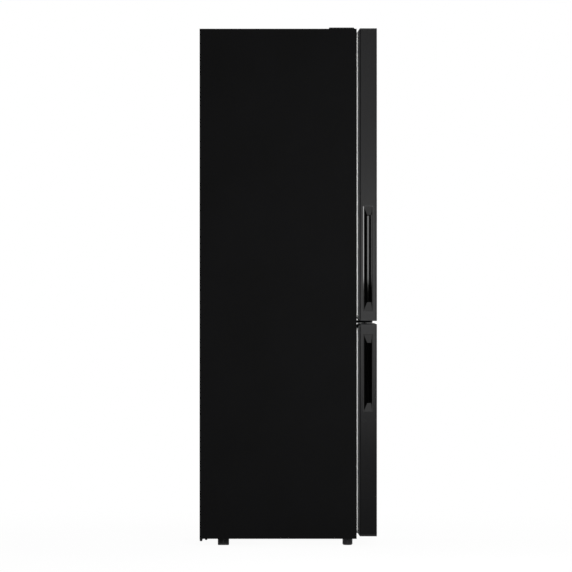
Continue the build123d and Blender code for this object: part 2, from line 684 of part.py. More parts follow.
with BuildPart() as rear_cover:
    cover_x = HALF - 2 * SHEET - REAR_COVER_GAP
    cover_z = (TRAY_TOP + REAR_COVER_GAP, CHAMBER_TOP - SHEET - REAR_COVER_GAP)
    block((-cover_x, cover_x), (PANEL_BACK - REAR_COVER_SHEET, PANEL_BACK), cover_z)
    with BuildSketch(facing(PANEL_BACK, 0, sum(cover_z) / 2)):
        with GridLocations(VENT_PITCH, VENT_ROW_PITCH, VENT_COUNT, 2):
            SlotOverall(VENT_LENGTH, VENT_WIDTH, rotation=90)
    extrude(amount=REAR_COVER_SHEET, mode=Mode.SUBTRACT)
keep(rear_cover.part, "rear_cover")

can_bottom = COMPRESSOR_BOTTOM + COMPRESSOR_PLATE
can_middle = can_bottom + COMPRESSOR_HEIGHT / 2
stub_end = COMPRESSOR_X - COMPRESSOR_LENGTH / 2 - STUB_REACH
stub_z = can_bottom + STUB_LOW
stub_places = [COMPRESSOR_Y - STUB_SPACING / 2, COMPRESSOR_Y + STUB_SPACING / 2]

with BuildPart() as compressor:
    with BuildSketch(Plane.XY.offset(can_bottom)):
        with Locations((COMPRESSOR_X, COMPRESSOR_Y)):
            Ellipse(COMPRESSOR_LENGTH / 2, COMPRESSOR_BREADTH / 2)
    extrude(amount=COMPRESSOR_HEIGHT)
    rims = compressor.edges().group_by(Axis.Z)
    fillet(rims[0] + rims[-1], COMPRESSOR_ROUNDING)
    plate_x = GROMMET_SPAN_X / 2 + GROMMET_RADIUS
    plate_y = GROMMET_SPAN_Y / 2 + GROMMET_RADIUS
    block(
        (COMPRESSOR_X - plate_x, COMPRESSOR_X + plate_x),
        (COMPRESSOR_Y - plate_y, COMPRESSOR_Y + plate_y),
        (COMPRESSOR_BOTTOM, can_bottom),
    )
    block(
        (COMPRESSOR_X, COMPRESSOR_X + COMPRESSOR_LENGTH / 2 + TERMINAL_REACH),
        (COMPRESSOR_Y - TERMINAL_BOX / 2, COMPRESSOR_Y + TERMINAL_BOX / 2),
        (can_middle - TERMINAL_BOX / 2, can_middle + TERMINAL_BOX / 2),
    )
    for y in stub_places:
        rod(Plane((COMPRESSOR_X, y, stub_z), z_dir=(-1, 0, 0)), STUB_RADIUS, COMPRESSOR_X - stub_end)
keep(compressor.part, "compressor")

with BuildPart() as compressor_grommets:
    for x in (-GROMMET_SPAN_X / 2, GROMMET_SPAN_X / 2):
        for y in (-GROMMET_SPAN_Y / 2, GROMMET_SPAN_Y / 2):
            upright(COMPRESSOR_X + x, COMPRESSOR_Y + y, TRAY_TOP, GROMMET_RADIUS, GROMMET_HEIGHT)
keep(compressor_grommets.part, "compressor_grommets")


def rising_line(y, top):
    """Copper line from a compressor stub out to the left and up to a height."""
    with BuildPart() as line:
        with BuildLine():
            FilletPolyline(
                (stub_end, y, stub_z),
                (stub_end - LINE_RUN, y, stub_z),
                (stub_end - LINE_RUN, y, top),
                radius=LINE_BEND,
            )
        with BuildSketch(Plane((stub_end, y, stub_z), z_dir=(-1, 0, 0))):
            Circle(LINE_RADIUS)
        sweep()
    return line.part


line_top = CHAMBER_TOP - SHEET
drier_bottom = stub_z + DRIER_RISE
drier_top = drier_bottom + DRIER_LENGTH

with BuildPart() as refrigerant_lines:
    add(rising_line(stub_places[0], line_top))
    add(rising_line(stub_places[1], drier_bottom))
    upright(stub_end - LINE_RUN, stub_places[1], drier_bottom, DRIER_RADIUS, DRIER_LENGTH)
    upright(stub_end - LINE_RUN, stub_places[1], drier_top, LINE_RADIUS, line_top - drier_top)
keep(refrigerant_lines.part, "refrigerant_lines")

with BuildPart() as condensate_tray:
    pan_x = (COMPRESSOR_X - PAN_LENGTH / 2, COMPRESSOR_X + PAN_LENGTH / 2)
    pan_y = (COMPRESSOR_Y - PAN_BREADTH / 2, COMPRESSOR_Y + PAN_BREADTH / 2)
    block(pan_x, pan_y, (COMPRESSOR_TOP, COMPRESSOR_TOP + PAN_HEIGHT))
    block(
        (pan_x[0] + MOULDING, pan_x[1] - MOULDING),
        (pan_y[0] + MOULDING, pan_y[1] - MOULDING),
        (COMPRESSOR_TOP + MOULDING, COMPRESSOR_TOP + PAN_HEIGHT),
        Mode.SUBTRACT,
    )
keep(condensate_tray.part, "condensate_tray")

# Cold parts behind the freezer

fin_y = ((AIR_PANEL_BACK + ROOM_BACK - FIN_DEPTH) / 2, (AIR_PANEL_BACK + ROOM_BACK + FIN_DEPTH) / 2)
fin_foot = FIN_HEIGHT / FIN_COUNT

with BuildPart() as evaporator:
    for end in (-1, 1):
        end_x = sorted((end * COIL_WIDTH / 2, end * (COIL_WIDTH / 2 - COIL_END_PLATE)))
        block(end_x, fin_y, (STEP_TOP, STEP_TOP + fin_foot + FIN_HEIGHT))
    fin_pitch = COIL_WIDTH / (FIN_COUNT + 1)
    for count in range(FIN_COUNT):
        x = -COIL_WIDTH / 2 + fin_pitch * (count + 1)
        block(
            (x - FIN_THICKNESS / 2, x + FIN_THICKNESS / 2),
            fin_y,
            (STEP_TOP + fin_foot, STEP_TOP + fin_foot + FIN_HEIGHT),
        )
    for column in range(COIL_COLUMNS):
        for row in range(COIL_ROWS):
            y = fin_y[0] + FIN_DEPTH * (column + 0.5) / COIL_COLUMNS
            z = STEP_TOP + fin_foot + FIN_HEIGHT * (row + 0.5) / COIL_ROWS
            rod(Plane((-COIL_WIDTH / 2, y, z), z_dir=(1, 0, 0)), COIL_TUBE_RADIUS, COIL_WIDTH)
keep(evaporator.part, "evaporator")

motor_front = ROOM_BACK - MOTOR_LENGTH
fan_back = motor_front - FAN_RUN_GAP
fan_front = fan_back - FAN_DEPTH

with BuildPart() as fan_motor:
    rod(facing(ROOM_BACK, 0, FAN_Z), MOTOR_RADIUS, MOTOR_LENGTH)
    rod(facing(motor_front, 0, FAN_Z), SHAFT_RADIUS, motor_front - fan_front)
keep(fan_motor.part, "fan_motor")

with BuildPart() as evaporator_fan:
    rod(facing(fan_back, 0, FAN_Z), FAN_HUB_RADIUS, FAN_DEPTH)
    blade_length = FAN_RADIUS - FAN_HUB_RADIUS + BLADE_THICKNESS
    with Locations(facing((fan_front + fan_back) / 2, 0, FAN_Z)):
        with PolarLocations(FAN_RADIUS - blade_length / 2, FAN_BLADES):
            Box(blade_length, BLADE_WIDTH, BLADE_THICKNESS, rotation=(BLADE_TILT, 0, 0))
    rod(facing(fan_back, 0, FAN_Z), SHAFT_RADIUS + SHAFT_FIT, FAN_DEPTH, Mode.SUBTRACT)
keep(evaporator_fan.part, "evaporator_fan")

with BuildPart() as freezer_air_panel:
    panel_z = (STEP_TOP, FREEZER_CEILING)
    with BuildSketch(facing(AIR_PANEL_BACK)):
        with Locations((0, sum(panel_z) / 2)):
            panel = Rectangle(2 * FREEZER_HALF - 2 * SEAT, panel_z[1] - panel_z[0] - 2 * SEAT)
        fillet(panel.vertices().group_by(Axis.Y)[-1], ROOM_RADIUS)
    extrude(amount=AIR_PANEL)
    for middle in (FAN_Z, STEP_TOP + PANEL_SLOT_PITCH * PANEL_SLOT_COUNT / 2):
        with BuildSketch(facing(AIR_PANEL_BACK, 0, middle)):
            with GridLocations(0, PANEL_SLOT_PITCH, 1, PANEL_SLOT_COUNT):
                SlotOverall(PANEL_SLOT_LENGTH, PANEL_SLOT_WIDTH)
        extrude(amount=AIR_PANEL, mode=Mode.SUBTRACT)
keep(freezer_air_panel.part, "freezer_air_panel")

# Fridge room

with BuildPart() as air_duct:
    duct_z = (FRIDGE_FLOOR + DUCT_END_GAP, FRIDGE_CEILING - DUCT_END_GAP)
    block((-DUCT_WIDTH / 2, DUCT_WIDTH / 2), (ROOM_BACK - DUCT_DEPTH, ROOM_BACK), duct_z)
    block(
        (MOULDING - DUCT_WIDTH / 2, DUCT_WIDTH / 2 - MOULDING),
        (ROOM_BACK - DUCT_DEPTH + MOULDING, ROOM_BACK),
        (duct_z[0] + MOULDING, duct_z[1] - MOULDING),
        Mode.SUBTRACT,
    )
    for level in SHELF_LEVELS:
        with BuildSketch(facing(ROOM_BACK - DUCT_DEPTH + MOULDING, 0, level + SHELF_PITCH / 2)):
            with GridLocations(DUCT_WIDTH / 2, 0, 2, 1):
                SlotOverall(DUCT_SLOT_LENGTH, DUCT_SLOT_WIDTH)
        extrude(amount=MOULDING, mode=Mode.SUBTRACT)
keep(air_duct.part, "air_duct")

control_z = (FRIDGE_CEILING - CONTROL_HEIGHT, FRIDGE_CEILING)
control_back = CONTROL_FRONT + CONTROL_DEPTH
lens_x = (-LENS_WIDTH / 2, LENS_WIDTH / 2)
lens_y = (control_back - LENS_BACK_INSET - LENS_DEPTH, control_back - LENS_BACK_INSET)
lens_z = (control_z[0] - LENS_DROP, control_z[0] - LENS_DROP + LENS_THICKNESS)

with BuildPart() as control_box:
    block((-CONTROL_WIDTH / 2, CONTROL_WIDTH / 2), (CONTROL_FRONT, control_back), control_z)
    fillet(control_box.faces().sort_by(Axis.Z)[0].edges(), CONTROL_RADIUS)
    block(lens_x, lens_y, lens_z, Mode.SUBTRACT)
    rod(facing(CONTROL_FRONT, KNOB_OFFSET, KNOB_Z), SPINDLE_RADIUS, SPINDLE_REACH)
keep(control_box.part, "control_box")

with BuildPart() as lamp_lens:
    block(lens_x, lens_y, lens_z)
keep(lamp_lens.part, "lamp_lens")

knob_back = CONTROL_FRONT - KNOB_GAP

with BuildPart() as control_knob:
    rod(facing(knob_back, KNOB_OFFSET, KNOB_Z), KNOB_RADIUS, KNOB_DEPTH)
    fillet(control_knob.edges().sort_by(Axis.Y)[0], KNOB_GAP)
    block(
        (KNOB_OFFSET - KNOB_GRIP_WIDTH / 2, KNOB_OFFSET + KNOB_GRIP_WIDTH / 2),
        (knob_back - KNOB_DEPTH - KNOB_GRIP_HEIGHT, knob_back - KNOB_DEPTH),
        (KNOB_Z - KNOB_RADIUS + KNOB_GRIP_HEIGHT, KNOB_Z + KNOB_RADIUS - KNOB_GRIP_HEIGHT),
    )
    rod(facing(knob_back, KNOB_OFFSET, KNOB_Z), SPINDLE_RADIUS + SPINDLE_FIT, SPINDLE_REACH, Mode.SUBTRACT)
keep(control_knob.part, "control_knob")

shelf_x = (-SHELF_HALF, SHELF_HALF)
glass_y = (SHELF_FRONT + SHELF_TRIM_DEPTH / 2, SHELF_BACK - SHELF_TRIM_DEPTH / 2)


def glass_plate(x, y, bottom):
    """Toughened glass shelf."""
    with BuildPart() as plate:
        block(x, y, (bottom, bottom + GLASS))
    return plate.part


for level, name in zip(SHELF_LEVELS, ("crisper_cover",) + SHELF_NAMES):
    keep(glass_plate(shelf_x, glass_y, level), name)

with BuildPart() as shelf_trims:
    for level in SHELF_LEVELS:
        trim_z = (level - SHELF_TRIM_UNDER, level + GLASS + SHELF_TRIM_OVER)
        block(shelf_x, (SHELF_FRONT, SHELF_FRONT + SHELF_TRIM_DEPTH), trim_z)
        block(shelf_x, (SHELF_BACK - SHELF_TRIM_DEPTH, SHELF_BACK), trim_z)
    for level in SHELF_LEVELS:
        block(shelf_x, glass_y, (level, level + GLASS), Mode.SUBTRACT)
keep(shelf_trims.part, "shelf_trims")

with BuildPart() as humidity_slider:
    slider_y = (SHELF_FRONT - SEAT - SLIDER_DEPTH, SHELF_FRONT - SEAT)
    slider_z = (CRISPER_SHELF_Z, CRISPER_SHELF_Z + SLIDER_HEIGHT)
    slider_x = (-SLIDER_TRAVEL / 2 - SLIDER_LENGTH / 2, SLIDER_LENGTH / 2 - SLIDER_TRAVEL / 2)
    block(slider_x, slider_y, slider_z)
    fillet(humidity_slider.edges().filter_by(Axis.Z), SLIDER_HEIGHT / 4)
keep(humidity_slider.part, "humidity_slider")


def drawer(half_width, y, z):
    """Open-topped moulded drawer with a thick front that has a finger groove."""
    length = y[1] - y[0]
    with BuildPart() as tub:
        with BuildSketch(Plane((0, (y[0] + y[1]) / 2, z[0]))):
            RectangleRounded(2 * half_width, length, DRAWER_RADIUS)
        extrude(amount=z[1] - z[0])
        fillet(tub.faces().sort_by(Axis.Z)[0].edges(), DRAWER_RADIUS - MOULDING)
        with BuildSketch(Plane((0, (y[0] + DRAWER_FRONT_WALL + y[1] - MOULDING) / 2, z[0] + MOULDING))):
            RectangleRounded(
                2 * (half_width - MOULDING),
                length - DRAWER_FRONT_WALL - MOULDING,
                DRAWER_RADIUS - MOULDING,
            )
        extrude(amount=z[1] - z[0], mode=Mode.SUBTRACT)
        groove_top = z[1] - DRAWER_FRONT_WALL
        block(
            (-DRAWER_GRIP_WIDTH / 2, DRAWER_GRIP_WIDTH / 2),
            (y[0], y[0] + DRAWER_GRIP_DEPTH),
            (groove_top - DRAWER_GRIP_HEIGHT, groove_top),
            Mode.SUBTRACT,
        )
    return tub.part


crisper_y = (CRISPER_FRONT, SHELF_BACK - CRISPER_BACK_GAP)
crisper_z = (FRIDGE_FLOOR + SEAT, CRISPER_SHELF_Z - CRISPER_TOP_GAP)
keep(drawer(FRIDGE_HALF - CRISPER_SIDE_GAP, crisper_y, crisper_z), "crisper_drawer")

# Freezer room

with BuildPart() as freezer_shelves:
    for level in FREEZER_SHELF_LEVELS:
        add(
            glass_plate(
                (SHELF_SIDE_GAP - FREEZER_HALF, FREEZER_HALF - SHELF_SIDE_GAP),
                (FREEZER_SHELF_FRONT, FREEZER_SHELF_BACK),
                level - GLASS,
            )
        )
keep(freezer_shelves.part, "freezer_shelves")

drawer_floors = [FREEZER_FLOOR] + FREEZER_SHELF_LEVELS
drawer_ceilings = [level - GLASS for level in FREEZER_SHELF_LEVELS] + [FREEZER_CEILING]
drawer_backs = [STEP_FRONT] + [AIR_PANEL_FRONT for level in FREEZER_SHELF_LEVELS]
freezer_drawer_limits = [
    ((DRAWER_FRONT, back - DRAWER_BACK_GAP), (floor + SEAT, ceiling - DRAWER_TOP_GAP))
    for floor, ceiling, back in zip(drawer_floors, drawer_ceilings, drawer_backs)
]
for name, (y, z) in zip(DRAWER_NAMES, freezer_drawer_limits):
    keep(drawer(DRAWER_HALF_WIDTH, y, z), name)

# Doors

window_x = (DOOR_RETURN - HALF, HALF - DOOR_RETURN)
grip_y = (FRONT + GRIP_FRONT, FRONT + GRIP_BACK)
grip_end_x = -HALF + GRIP_BOWL_DEPTH + GRIP_CHANNEL_DEPTH + GRIP_FLOOR


def grip_space(grip, mode):
    """Space that a grip insert fills in the side of its door."""
    block(
        (-HALF, grip_end_x),
        (grip_y[0] - GRIP_RIM, grip_y[1] + GRIP_RIM),
        (grip[0] - GRIP_RIM, grip[1] + GRIP_RIM),
        mode,
    )


def grip_insert(grip):
    """Moulded pocket: a bevelled rim, a bowl with sloped walls, a deep channel and a ledge behind it."""
    bevel = GRIP_RIM - GRIP_LAND
    bowl_y = (grip_y[0] + GRIP_FRONT_SLOPE, grip_y[1] - GRIP_BACK_SLOPE)
    bowl_z = (grip[0] + GRIP_END_SLOPE, grip[1] - GRIP_END_SLOPE)
    bowl_x = -HALF + GRIP_BOWL_DEPTH
    rim_x = -HALF + GRIP_RIM_DEPTH
    floor_x = bowl_x + GRIP_CHANNEL_DEPTH
    mouth = (-HALF, (grip_y[0] - bevel, grip_y[1] + bevel), (grip[0] - bevel, grip[1] + bevel))
    rim = (rim_x, grip_y, grip)
    with BuildPart() as insert:
        grip_space(grip, Mode.ADD)
        for stage in ((mouth, rim), (rim, (bowl_x, bowl_y, bowl_z))):
            for x, y, z in stage:
                with BuildSketch(Plane.YZ.offset(x)):
                    with Locations((sum(y) / 2, sum(z) / 2)):
                        Rectangle(y[1] - y[0], z[1] - z[0])
            loft(mode=Mode.SUBTRACT)
        with BuildSketch(Plane.XY.offset(bowl_z[0])):
            with BuildLine():
                Polyline(
                    (bowl_x, bowl_y[0]),
                    (floor_x, bowl_y[0]),
                    (floor_x - GRIP_CHANNEL_TILT, bowl_y[1]),
                    (bowl_x, bowl_y[1]),
                    close=True,
                )
            make_face()
        extrude(amount=bowl_z[1] - bowl_z[0], mode=Mode.SUBTRACT)
        block(
            (bowl_x, floor_x + GRIP_FLOOR / 2),
            (bowl_y[1] - GRIP_LEDGE_WIDTH, bowl_y[1] + GRIP_LEDGE_WIDTH / 2),
            (bowl_z[0] + GRIP_LEDGE_GAP, bowl_z[1] - GRIP_LEDGE_GAP),
        )
        rim_edges = insert.edges().filter_by_position(Axis.X, rim_x - GRIP_LAND, rim_x + GRIP_LAND)
        fillet(rim_edges, GRIP_EDGE_RADIUS)
    return insert.part


def door_skin(door, grip):
    """Folded steel door skin with returns along its back edges and an opening for the grip."""
    z = (door[0] + DOOR_CAP, door[1] - DOOR_CAP)
    with BuildPart() as skin:
        with BuildSketch(Plane((0, FRONT + DOOR_BODY / 2, z[0]))):
            RectangleRounded(WIDTH, DOOR_BODY, DOOR_EDGE_RADIUS)
            RectangleRounded(
                WIDTH - 2 * SHEET, DOOR_BODY - 2 * SHEET, DOOR_EDGE_RADIUS - SHEET, mode=Mode.SUBTRACT
            )
        extrude(amount=z[1] - z[0])
        block(window_x, (DOOR_BODY_BACK - SHEET, DOOR_BODY_BACK), z, Mode.SUBTRACT)
        grip_space(grip, Mode.SUBTRACT)
    return skin.part


def door_cap(end, inwards):
    """Moulded door end with a tongue inside the skin and the socket for the hinge pin."""
    with BuildPart() as cap:
        with BuildSketch(Plane((0, FRONT + DOOR_BODY / 2, end))):
            RectangleRounded(WIDTH, DOOR_BODY, DOOR_EDGE_RADIUS)
        extrude(amount=inwards * DOOR_CAP)
        fillet(cap.faces().sort_by(Axis.Z)[0 if inwards > 0 else -1].edges(), CAP_EDGE_RADIUS)
        with BuildSketch(Plane((0, FRONT + DOOR_BODY / 2, end + inwards * DOOR_CAP))):
            RectangleRounded(WIDTH - 2 * SHEET, DOOR_BODY - 2 * SHEET, DOOR_EDGE_RADIUS - SHEET)
        extrude(amount=inwards * CAP_TONGUE)
        socket_z = min(end, end + inwards * (DOOR_CAP + CAP_TONGUE))
        upright(HINGE_X, HINGE_Y, socket_z, PIN_RADIUS + PIN_FIT, DOOR_CAP + CAP_TONGUE, Mode.SUBTRACT)
    return cap.part


def door_frame(door):
    """Dark strip round the back of a door, with slanted ends."""
    strip_x = HALF - FRAME_SIDE_INSET
    with BuildPart() as frame:
        with BuildSketch(Plane.YZ.offset(-strip_x)):
            with BuildLine():
                Polyline(
                    (DOOR_BODY_BACK, door[0] + CAP_EDGE_RADIUS),
                    (DOOR_BACK, door[0] + FRAME_SLOPE),
                    (DOOR_BACK, door[1] - FRAME_SLOPE),
                    (DOOR_BODY_BACK, door[1] - CAP_EDGE_RADIUS),
                    close=True,
                )
            make_face()
        extrude(amount=2 * strip_x)
        fillet(frame.edges().filter_by(Axis.Z).group_by(Axis.Y)[-1], FRAME_EDGE_RADIUS)
        window_z = (door[0] + FRAME_END, door[1] - FRAME_END)
        block(window_x, (DOOR_BODY_BACK, DOOR_BACK), window_z, Mode.SUBTRACT)
    return frame.part


def ridge(limits, shrink):
    """Raised ring on a door liner that reaches into the room, or the foam inside it."""
    half_width, z, depth = limits
    tall = z[1] - z[0]
    with BuildPart() as ring:
        with BuildSketch(facing(DOOR_BACK + depth - shrink, 0, sum(z) / 2)):
            RectangleRounded(2 * (half_width - shrink), tall - 2 * shrink, 2 * RIDGE_RADIUS - shrink)
            RectangleRounded(
                2 * (half_width - RIDGE_WIDTH + shrink),
                tall - 2 * (RIDGE_WIDTH - shrink),
                RIDGE_RADIUS + shrink,
                mode=Mode.SUBTRACT,
            )
        extrude(amount=depth - shrink + LINER)
        fillet(ring.faces().sort_by(Axis.Y)[-1].edges(), RIDGE_RADIUS - shrink)
    return ring.part


def door_foam(door, grip, ridge_foam):
    """Foam that fills a door between its skin, caps and liner."""
    end = DOOR_CAP + CAP_TONGUE
    with BuildPart() as foam:
        with BuildSketch(Plane((0, FRONT + DOOR_BODY / 2, door[0] + end))):
            RectangleRounded(WIDTH - 2 * SHEET, DOOR_BODY - 2 * SHEET, DOOR_EDGE_RADIUS - SHEET)
        extrude(amount=door[1] - door[0] - 2 * end)
        block(
            window_x,
            (DOOR_BODY_BACK - SHEET, DOOR_BACK - LINER),
            (door[0] + FRAME_END, door[1] - FRAME_END),
        )
        add(ridge_foam)
        grip_space(grip, Mode.SUBTRACT)
    return foam.part


def door_liner(door, ridge_outside, ridge_foam):
    """Thermoformed inner face of a door."""
    with BuildPart() as sheet:
        block(window_x, (DOOR_BACK - LINER, DOOR_BACK), (door[0] + FRAME_END, door[1] - FRAME_END))
        add(ridge_outside)
        add(ridge_foam, mode=Mode.SUBTRACT)
    return sheet.part


def door_gasket(door):
    """Soft magnetic seal round the back of a door."""
    half_width = HALF - GASKET_SIDE_INSET
    tall = door[1] - door[0] - 2 * GASKET_END_INSET
    with BuildPart() as gasket:
        with BuildSketch(facing(CABINET_FRONT - GASKET_CLEARANCE, 0, sum(door) / 2)):
            Rectangle(2 * half_width, tall)
            Rectangle(2 * (half_width - GASKET_WIDTH), tall - 2 * GASKET_WIDTH, mode=Mode.SUBTRACT)
        extrude(amount=GASKET_GAP - GASKET_CLEARANCE)
    return gasket.part


def door_bin(z):
    """Open-topped shelf bin between the side ridges of the fridge door."""
    half_width = FRIDGE_HALF - RIDGE_GAP - RIDGE_WIDTH - BIN_SEAT
    middle = DOOR_BACK + BIN_REACH / 2
    with BuildPart() as tub:
        with BuildSketch(Plane((0, middle, z[0]))):
            RectangleRounded(2 * half_width, BIN_REACH, BIN_RADIUS)
        extrude(amount=z[1] - z[0])
        fillet(tub.faces().sort_by(Axis.Z)[0].edges(), BIN_RADIUS / 2)
        with BuildSketch(Plane((0, middle, z[0] + MOULDING))):
            RectangleRounded(2 * (half_width - MOULDING), BIN_REACH - 2 * MOULDING, BIN_RADIUS - MOULDING)
        extrude(amount=z[1] - z[0], mode=Mode.SUBTRACT)
    return tub.part


door_sets = {
    "fridge_door": (
        FRIDGE_DOOR,
        (FRIDGE_GRIP_BOTTOM, FRIDGE_GRIP_TOP),
        (
            FRIDGE_HALF - RIDGE_GAP,
            (FRIDGE_FLOOR + RIDGE_GAP, FRIDGE_CEILING - RIDGE_GAP),
            FRIDGE_RIDGE_DEPTH,
        ),
    ),
    "freezer_door": (
        FREEZER_DOOR,
        (FREEZER_GRIP_BOTTOM, FREEZER_GRIP_TOP),
        (
            FREEZER_HALF - RIDGE_GAP,
            (FREEZER_FLOOR + RIDGE_GAP, FREEZER_CEILING - RIDGE_GAP),
            FREEZER_RIDGE_DEPTH,
        ),
    ),
}

for name, (door, grip, ridge_limits) in door_sets.items():
    ridge_outside = ridge(ridge_limits, 0)
    ridge_foam = ridge(ridge_limits, LINER)
    keep(door_skin(door, grip), f"{name}_skin")
    keep(grip_insert(grip), f"{name}_grip")
    keep(Compound(children=[door_cap(door[0], 1), door_cap(door[1], -1)]), f"{name}_caps")
    keep(door_frame(door), f"{name}_frame")
    keep(door_foam(door, grip, ridge_foam), f"{name}_foam")
    keep(door_liner(door, ridge_outside, ridge_foam), f"{name}_liner")
    keep(door_gasket(door), f"{name}_gasket")

bottle_bin_z = FRIDGE_FLOOR + RIDGE_GAP + RIDGE_WIDTH + BOTTLE_BIN_RISE
top_bin_z = FRIDGE_CEILING - RIDGE_GAP - RIDGE_WIDTH - TOP_BIN_DROP
middle_bin_z = (bottle_bin_z + BIN_HEIGHTS[0] + top_bin_z - BIN_HEIGHTS[1]) / 2
bin_floors = (bottle_bin_z, middle_bin_z, top_bin_z)
for name, floor, tall in zip(BIN_NAMES, bin_floors, BIN_HEIGHTS):
    keep(door_bin((floor, floor + tall)), name)
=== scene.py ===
import json
import math

import bpy
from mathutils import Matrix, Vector


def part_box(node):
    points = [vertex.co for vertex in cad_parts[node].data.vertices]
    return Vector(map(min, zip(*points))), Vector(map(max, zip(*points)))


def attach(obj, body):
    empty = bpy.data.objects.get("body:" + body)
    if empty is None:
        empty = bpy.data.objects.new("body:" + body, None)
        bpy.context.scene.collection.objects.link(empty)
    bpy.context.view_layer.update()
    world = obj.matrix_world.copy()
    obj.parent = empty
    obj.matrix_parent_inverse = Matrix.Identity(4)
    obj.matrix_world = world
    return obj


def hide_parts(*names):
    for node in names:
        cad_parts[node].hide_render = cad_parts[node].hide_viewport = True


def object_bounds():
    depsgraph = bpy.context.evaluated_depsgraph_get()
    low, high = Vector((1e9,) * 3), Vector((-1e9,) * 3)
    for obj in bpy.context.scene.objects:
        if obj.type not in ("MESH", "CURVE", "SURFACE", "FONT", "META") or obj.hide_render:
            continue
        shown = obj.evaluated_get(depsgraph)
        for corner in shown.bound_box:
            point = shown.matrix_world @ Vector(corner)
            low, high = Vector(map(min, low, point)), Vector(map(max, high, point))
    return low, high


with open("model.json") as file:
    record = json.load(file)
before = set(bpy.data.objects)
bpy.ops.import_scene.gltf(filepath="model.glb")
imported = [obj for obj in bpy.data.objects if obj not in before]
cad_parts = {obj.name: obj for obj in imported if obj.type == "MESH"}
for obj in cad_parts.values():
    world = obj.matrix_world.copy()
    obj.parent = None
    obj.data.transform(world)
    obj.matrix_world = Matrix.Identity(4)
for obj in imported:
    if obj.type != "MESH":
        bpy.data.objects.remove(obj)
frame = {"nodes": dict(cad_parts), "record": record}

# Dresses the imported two-door refrigerator: a finish for every piece, the soft door seals, the
# ribs, rims and scale marks, and the studio. Metres, in the frame's own axes: X to the right seen
# from the front, Y to the back and Z up. The photograph looks at the left side, along X.

CAD_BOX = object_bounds()
MM = 0.001

DOORS = ("fridge_door", "freezer_door")
QUARTER_TURN = math.radians(90)

# Sizes of the added detail, with angles in degrees
SEAL_WIDTH = 16 * MM
SEAL_CORNER = 10 * MM
SEAL_CORNER_POINTS = 8
# Half of the seal's section, in shares of its half width and of its depth
SEAL_HALF_PROFILE = (
    (0.88, 0), (0.88, 0.2), (0.6, 0.24), (0.82, 0.42), (0.58, 0.6), (0.75, 0.7), (0.75, 0.98)
)
RIM_RADIUS = 2.2 * MM
RIM_CORNER = 5 * MM
RIM_CORNER_POINTS = 6
ROUND_SIDES = 10
FLOOR_RIB_WIDTH = 2.4 * MM
FLOOR_RIB_HEIGHT = 1.2 * MM
FLOOR_RIB_PITCH = 34 * MM
FLOOR_RIB_MARGIN = 24 * MM
TUB_WALL = 2.4 * MM
TUB_FRONT_WALL = 14 * MM
PRISM_PITCH = 5 * MM
PRISM_HEIGHT = 0.8 * MM
PRISM_MARGIN = 6 * MM
KNOB_GRIP_HEIGHT = 3 * MM
KNOB_FLUTES = 28
FLUTE_WIDTH = 1.2 * MM
FLUTE_PROUD = 0.5 * MM
FLUTE_MARGIN = 2 * MM
MARK_COUNT = 7
MARK_RING = 19 * MM
MARK_RADIUS = 0.6 * MM
MARK_GROWTH = 0.25
MARK_HEIGHT = 0.4 * MM
MARK_SWEEP = 84
MARK_MIDDLE = 180
INLAY_HEIGHT = 5 * MM
INLAY_PROUD = 0.25 * MM
INLAY_MARGIN = 5 * MM
WELD_RADIUS = 2.5 * MM
WELD_POINTS = 48
CAN_LENGTH = 190 * MM
CAN_BREADTH = 140 * MM
CAN_WELD_RISE = 73 * MM
CAN_SETBACK = 104 * MM
CAN_X = 70 * MM
LOUVRE_DEPTH = 8 * MM
LOUVRE_SHEET = 0.8 * MM
LOUVRE_TILT = 28
LOUVRE_LENGTH = 68 * MM
LOUVRE_PITCH = 13 * MM
LOUVRE_ROW_PITCH = 90 * MM
LOUVRE_COUNT = 17
LOUVRE_OFFSET = 0.8 * MM
SCREW_RADIUS = 4 * MM
SCREW_HEIGHT = 1.5 * MM
SCREW_SIDES = 12
# Loops of a screw head: shares of its radius at even and odd corners, and of its height
SCREW_LOOPS = (
    (1.0, 1.0, 0.0), (0.92, 0.92, 0.6), (0.7, 0.7, 1.0), (0.45, 0.32, 1.0), (0.42, 0.3, 0.35)
)
SCREW_INSET = 12 * MM
PANEL_SCREW_ROWS = 6
COVER_SCREW_COLUMNS = 5
BEAD_COUNT = 5
BEAD_LENGTH = 430 * MM
BEAD_RADIUS = 7 * MM
BEAD_PROUD = 1.5 * MM
BEAD_POINTS = 24
# Power of the taper that keeps a bead full until close to its ends
BEAD_TAPER = 16.0

# The studio
CAMERA_DISTANCE = 20.0
CAMERA_SPAN = 2.0483
CAMERA_AIM_Y = 8.1 * MM
CAMERA_AIM_Z = 0.9286
CAMERA_CLIP = 200.0
SENSOR = 36.0
FLOOR_REACH = 3.0
SHADOW_REACH = 1.2
SHADOW_SHARE = 0.045
FILL_LEVEL = 0.2
FLAG_DISTANCE = 5.0
FLAG_HALF = 4.0
FLAG_HEIGHT = 4.4
WHITE = "#ffffff"
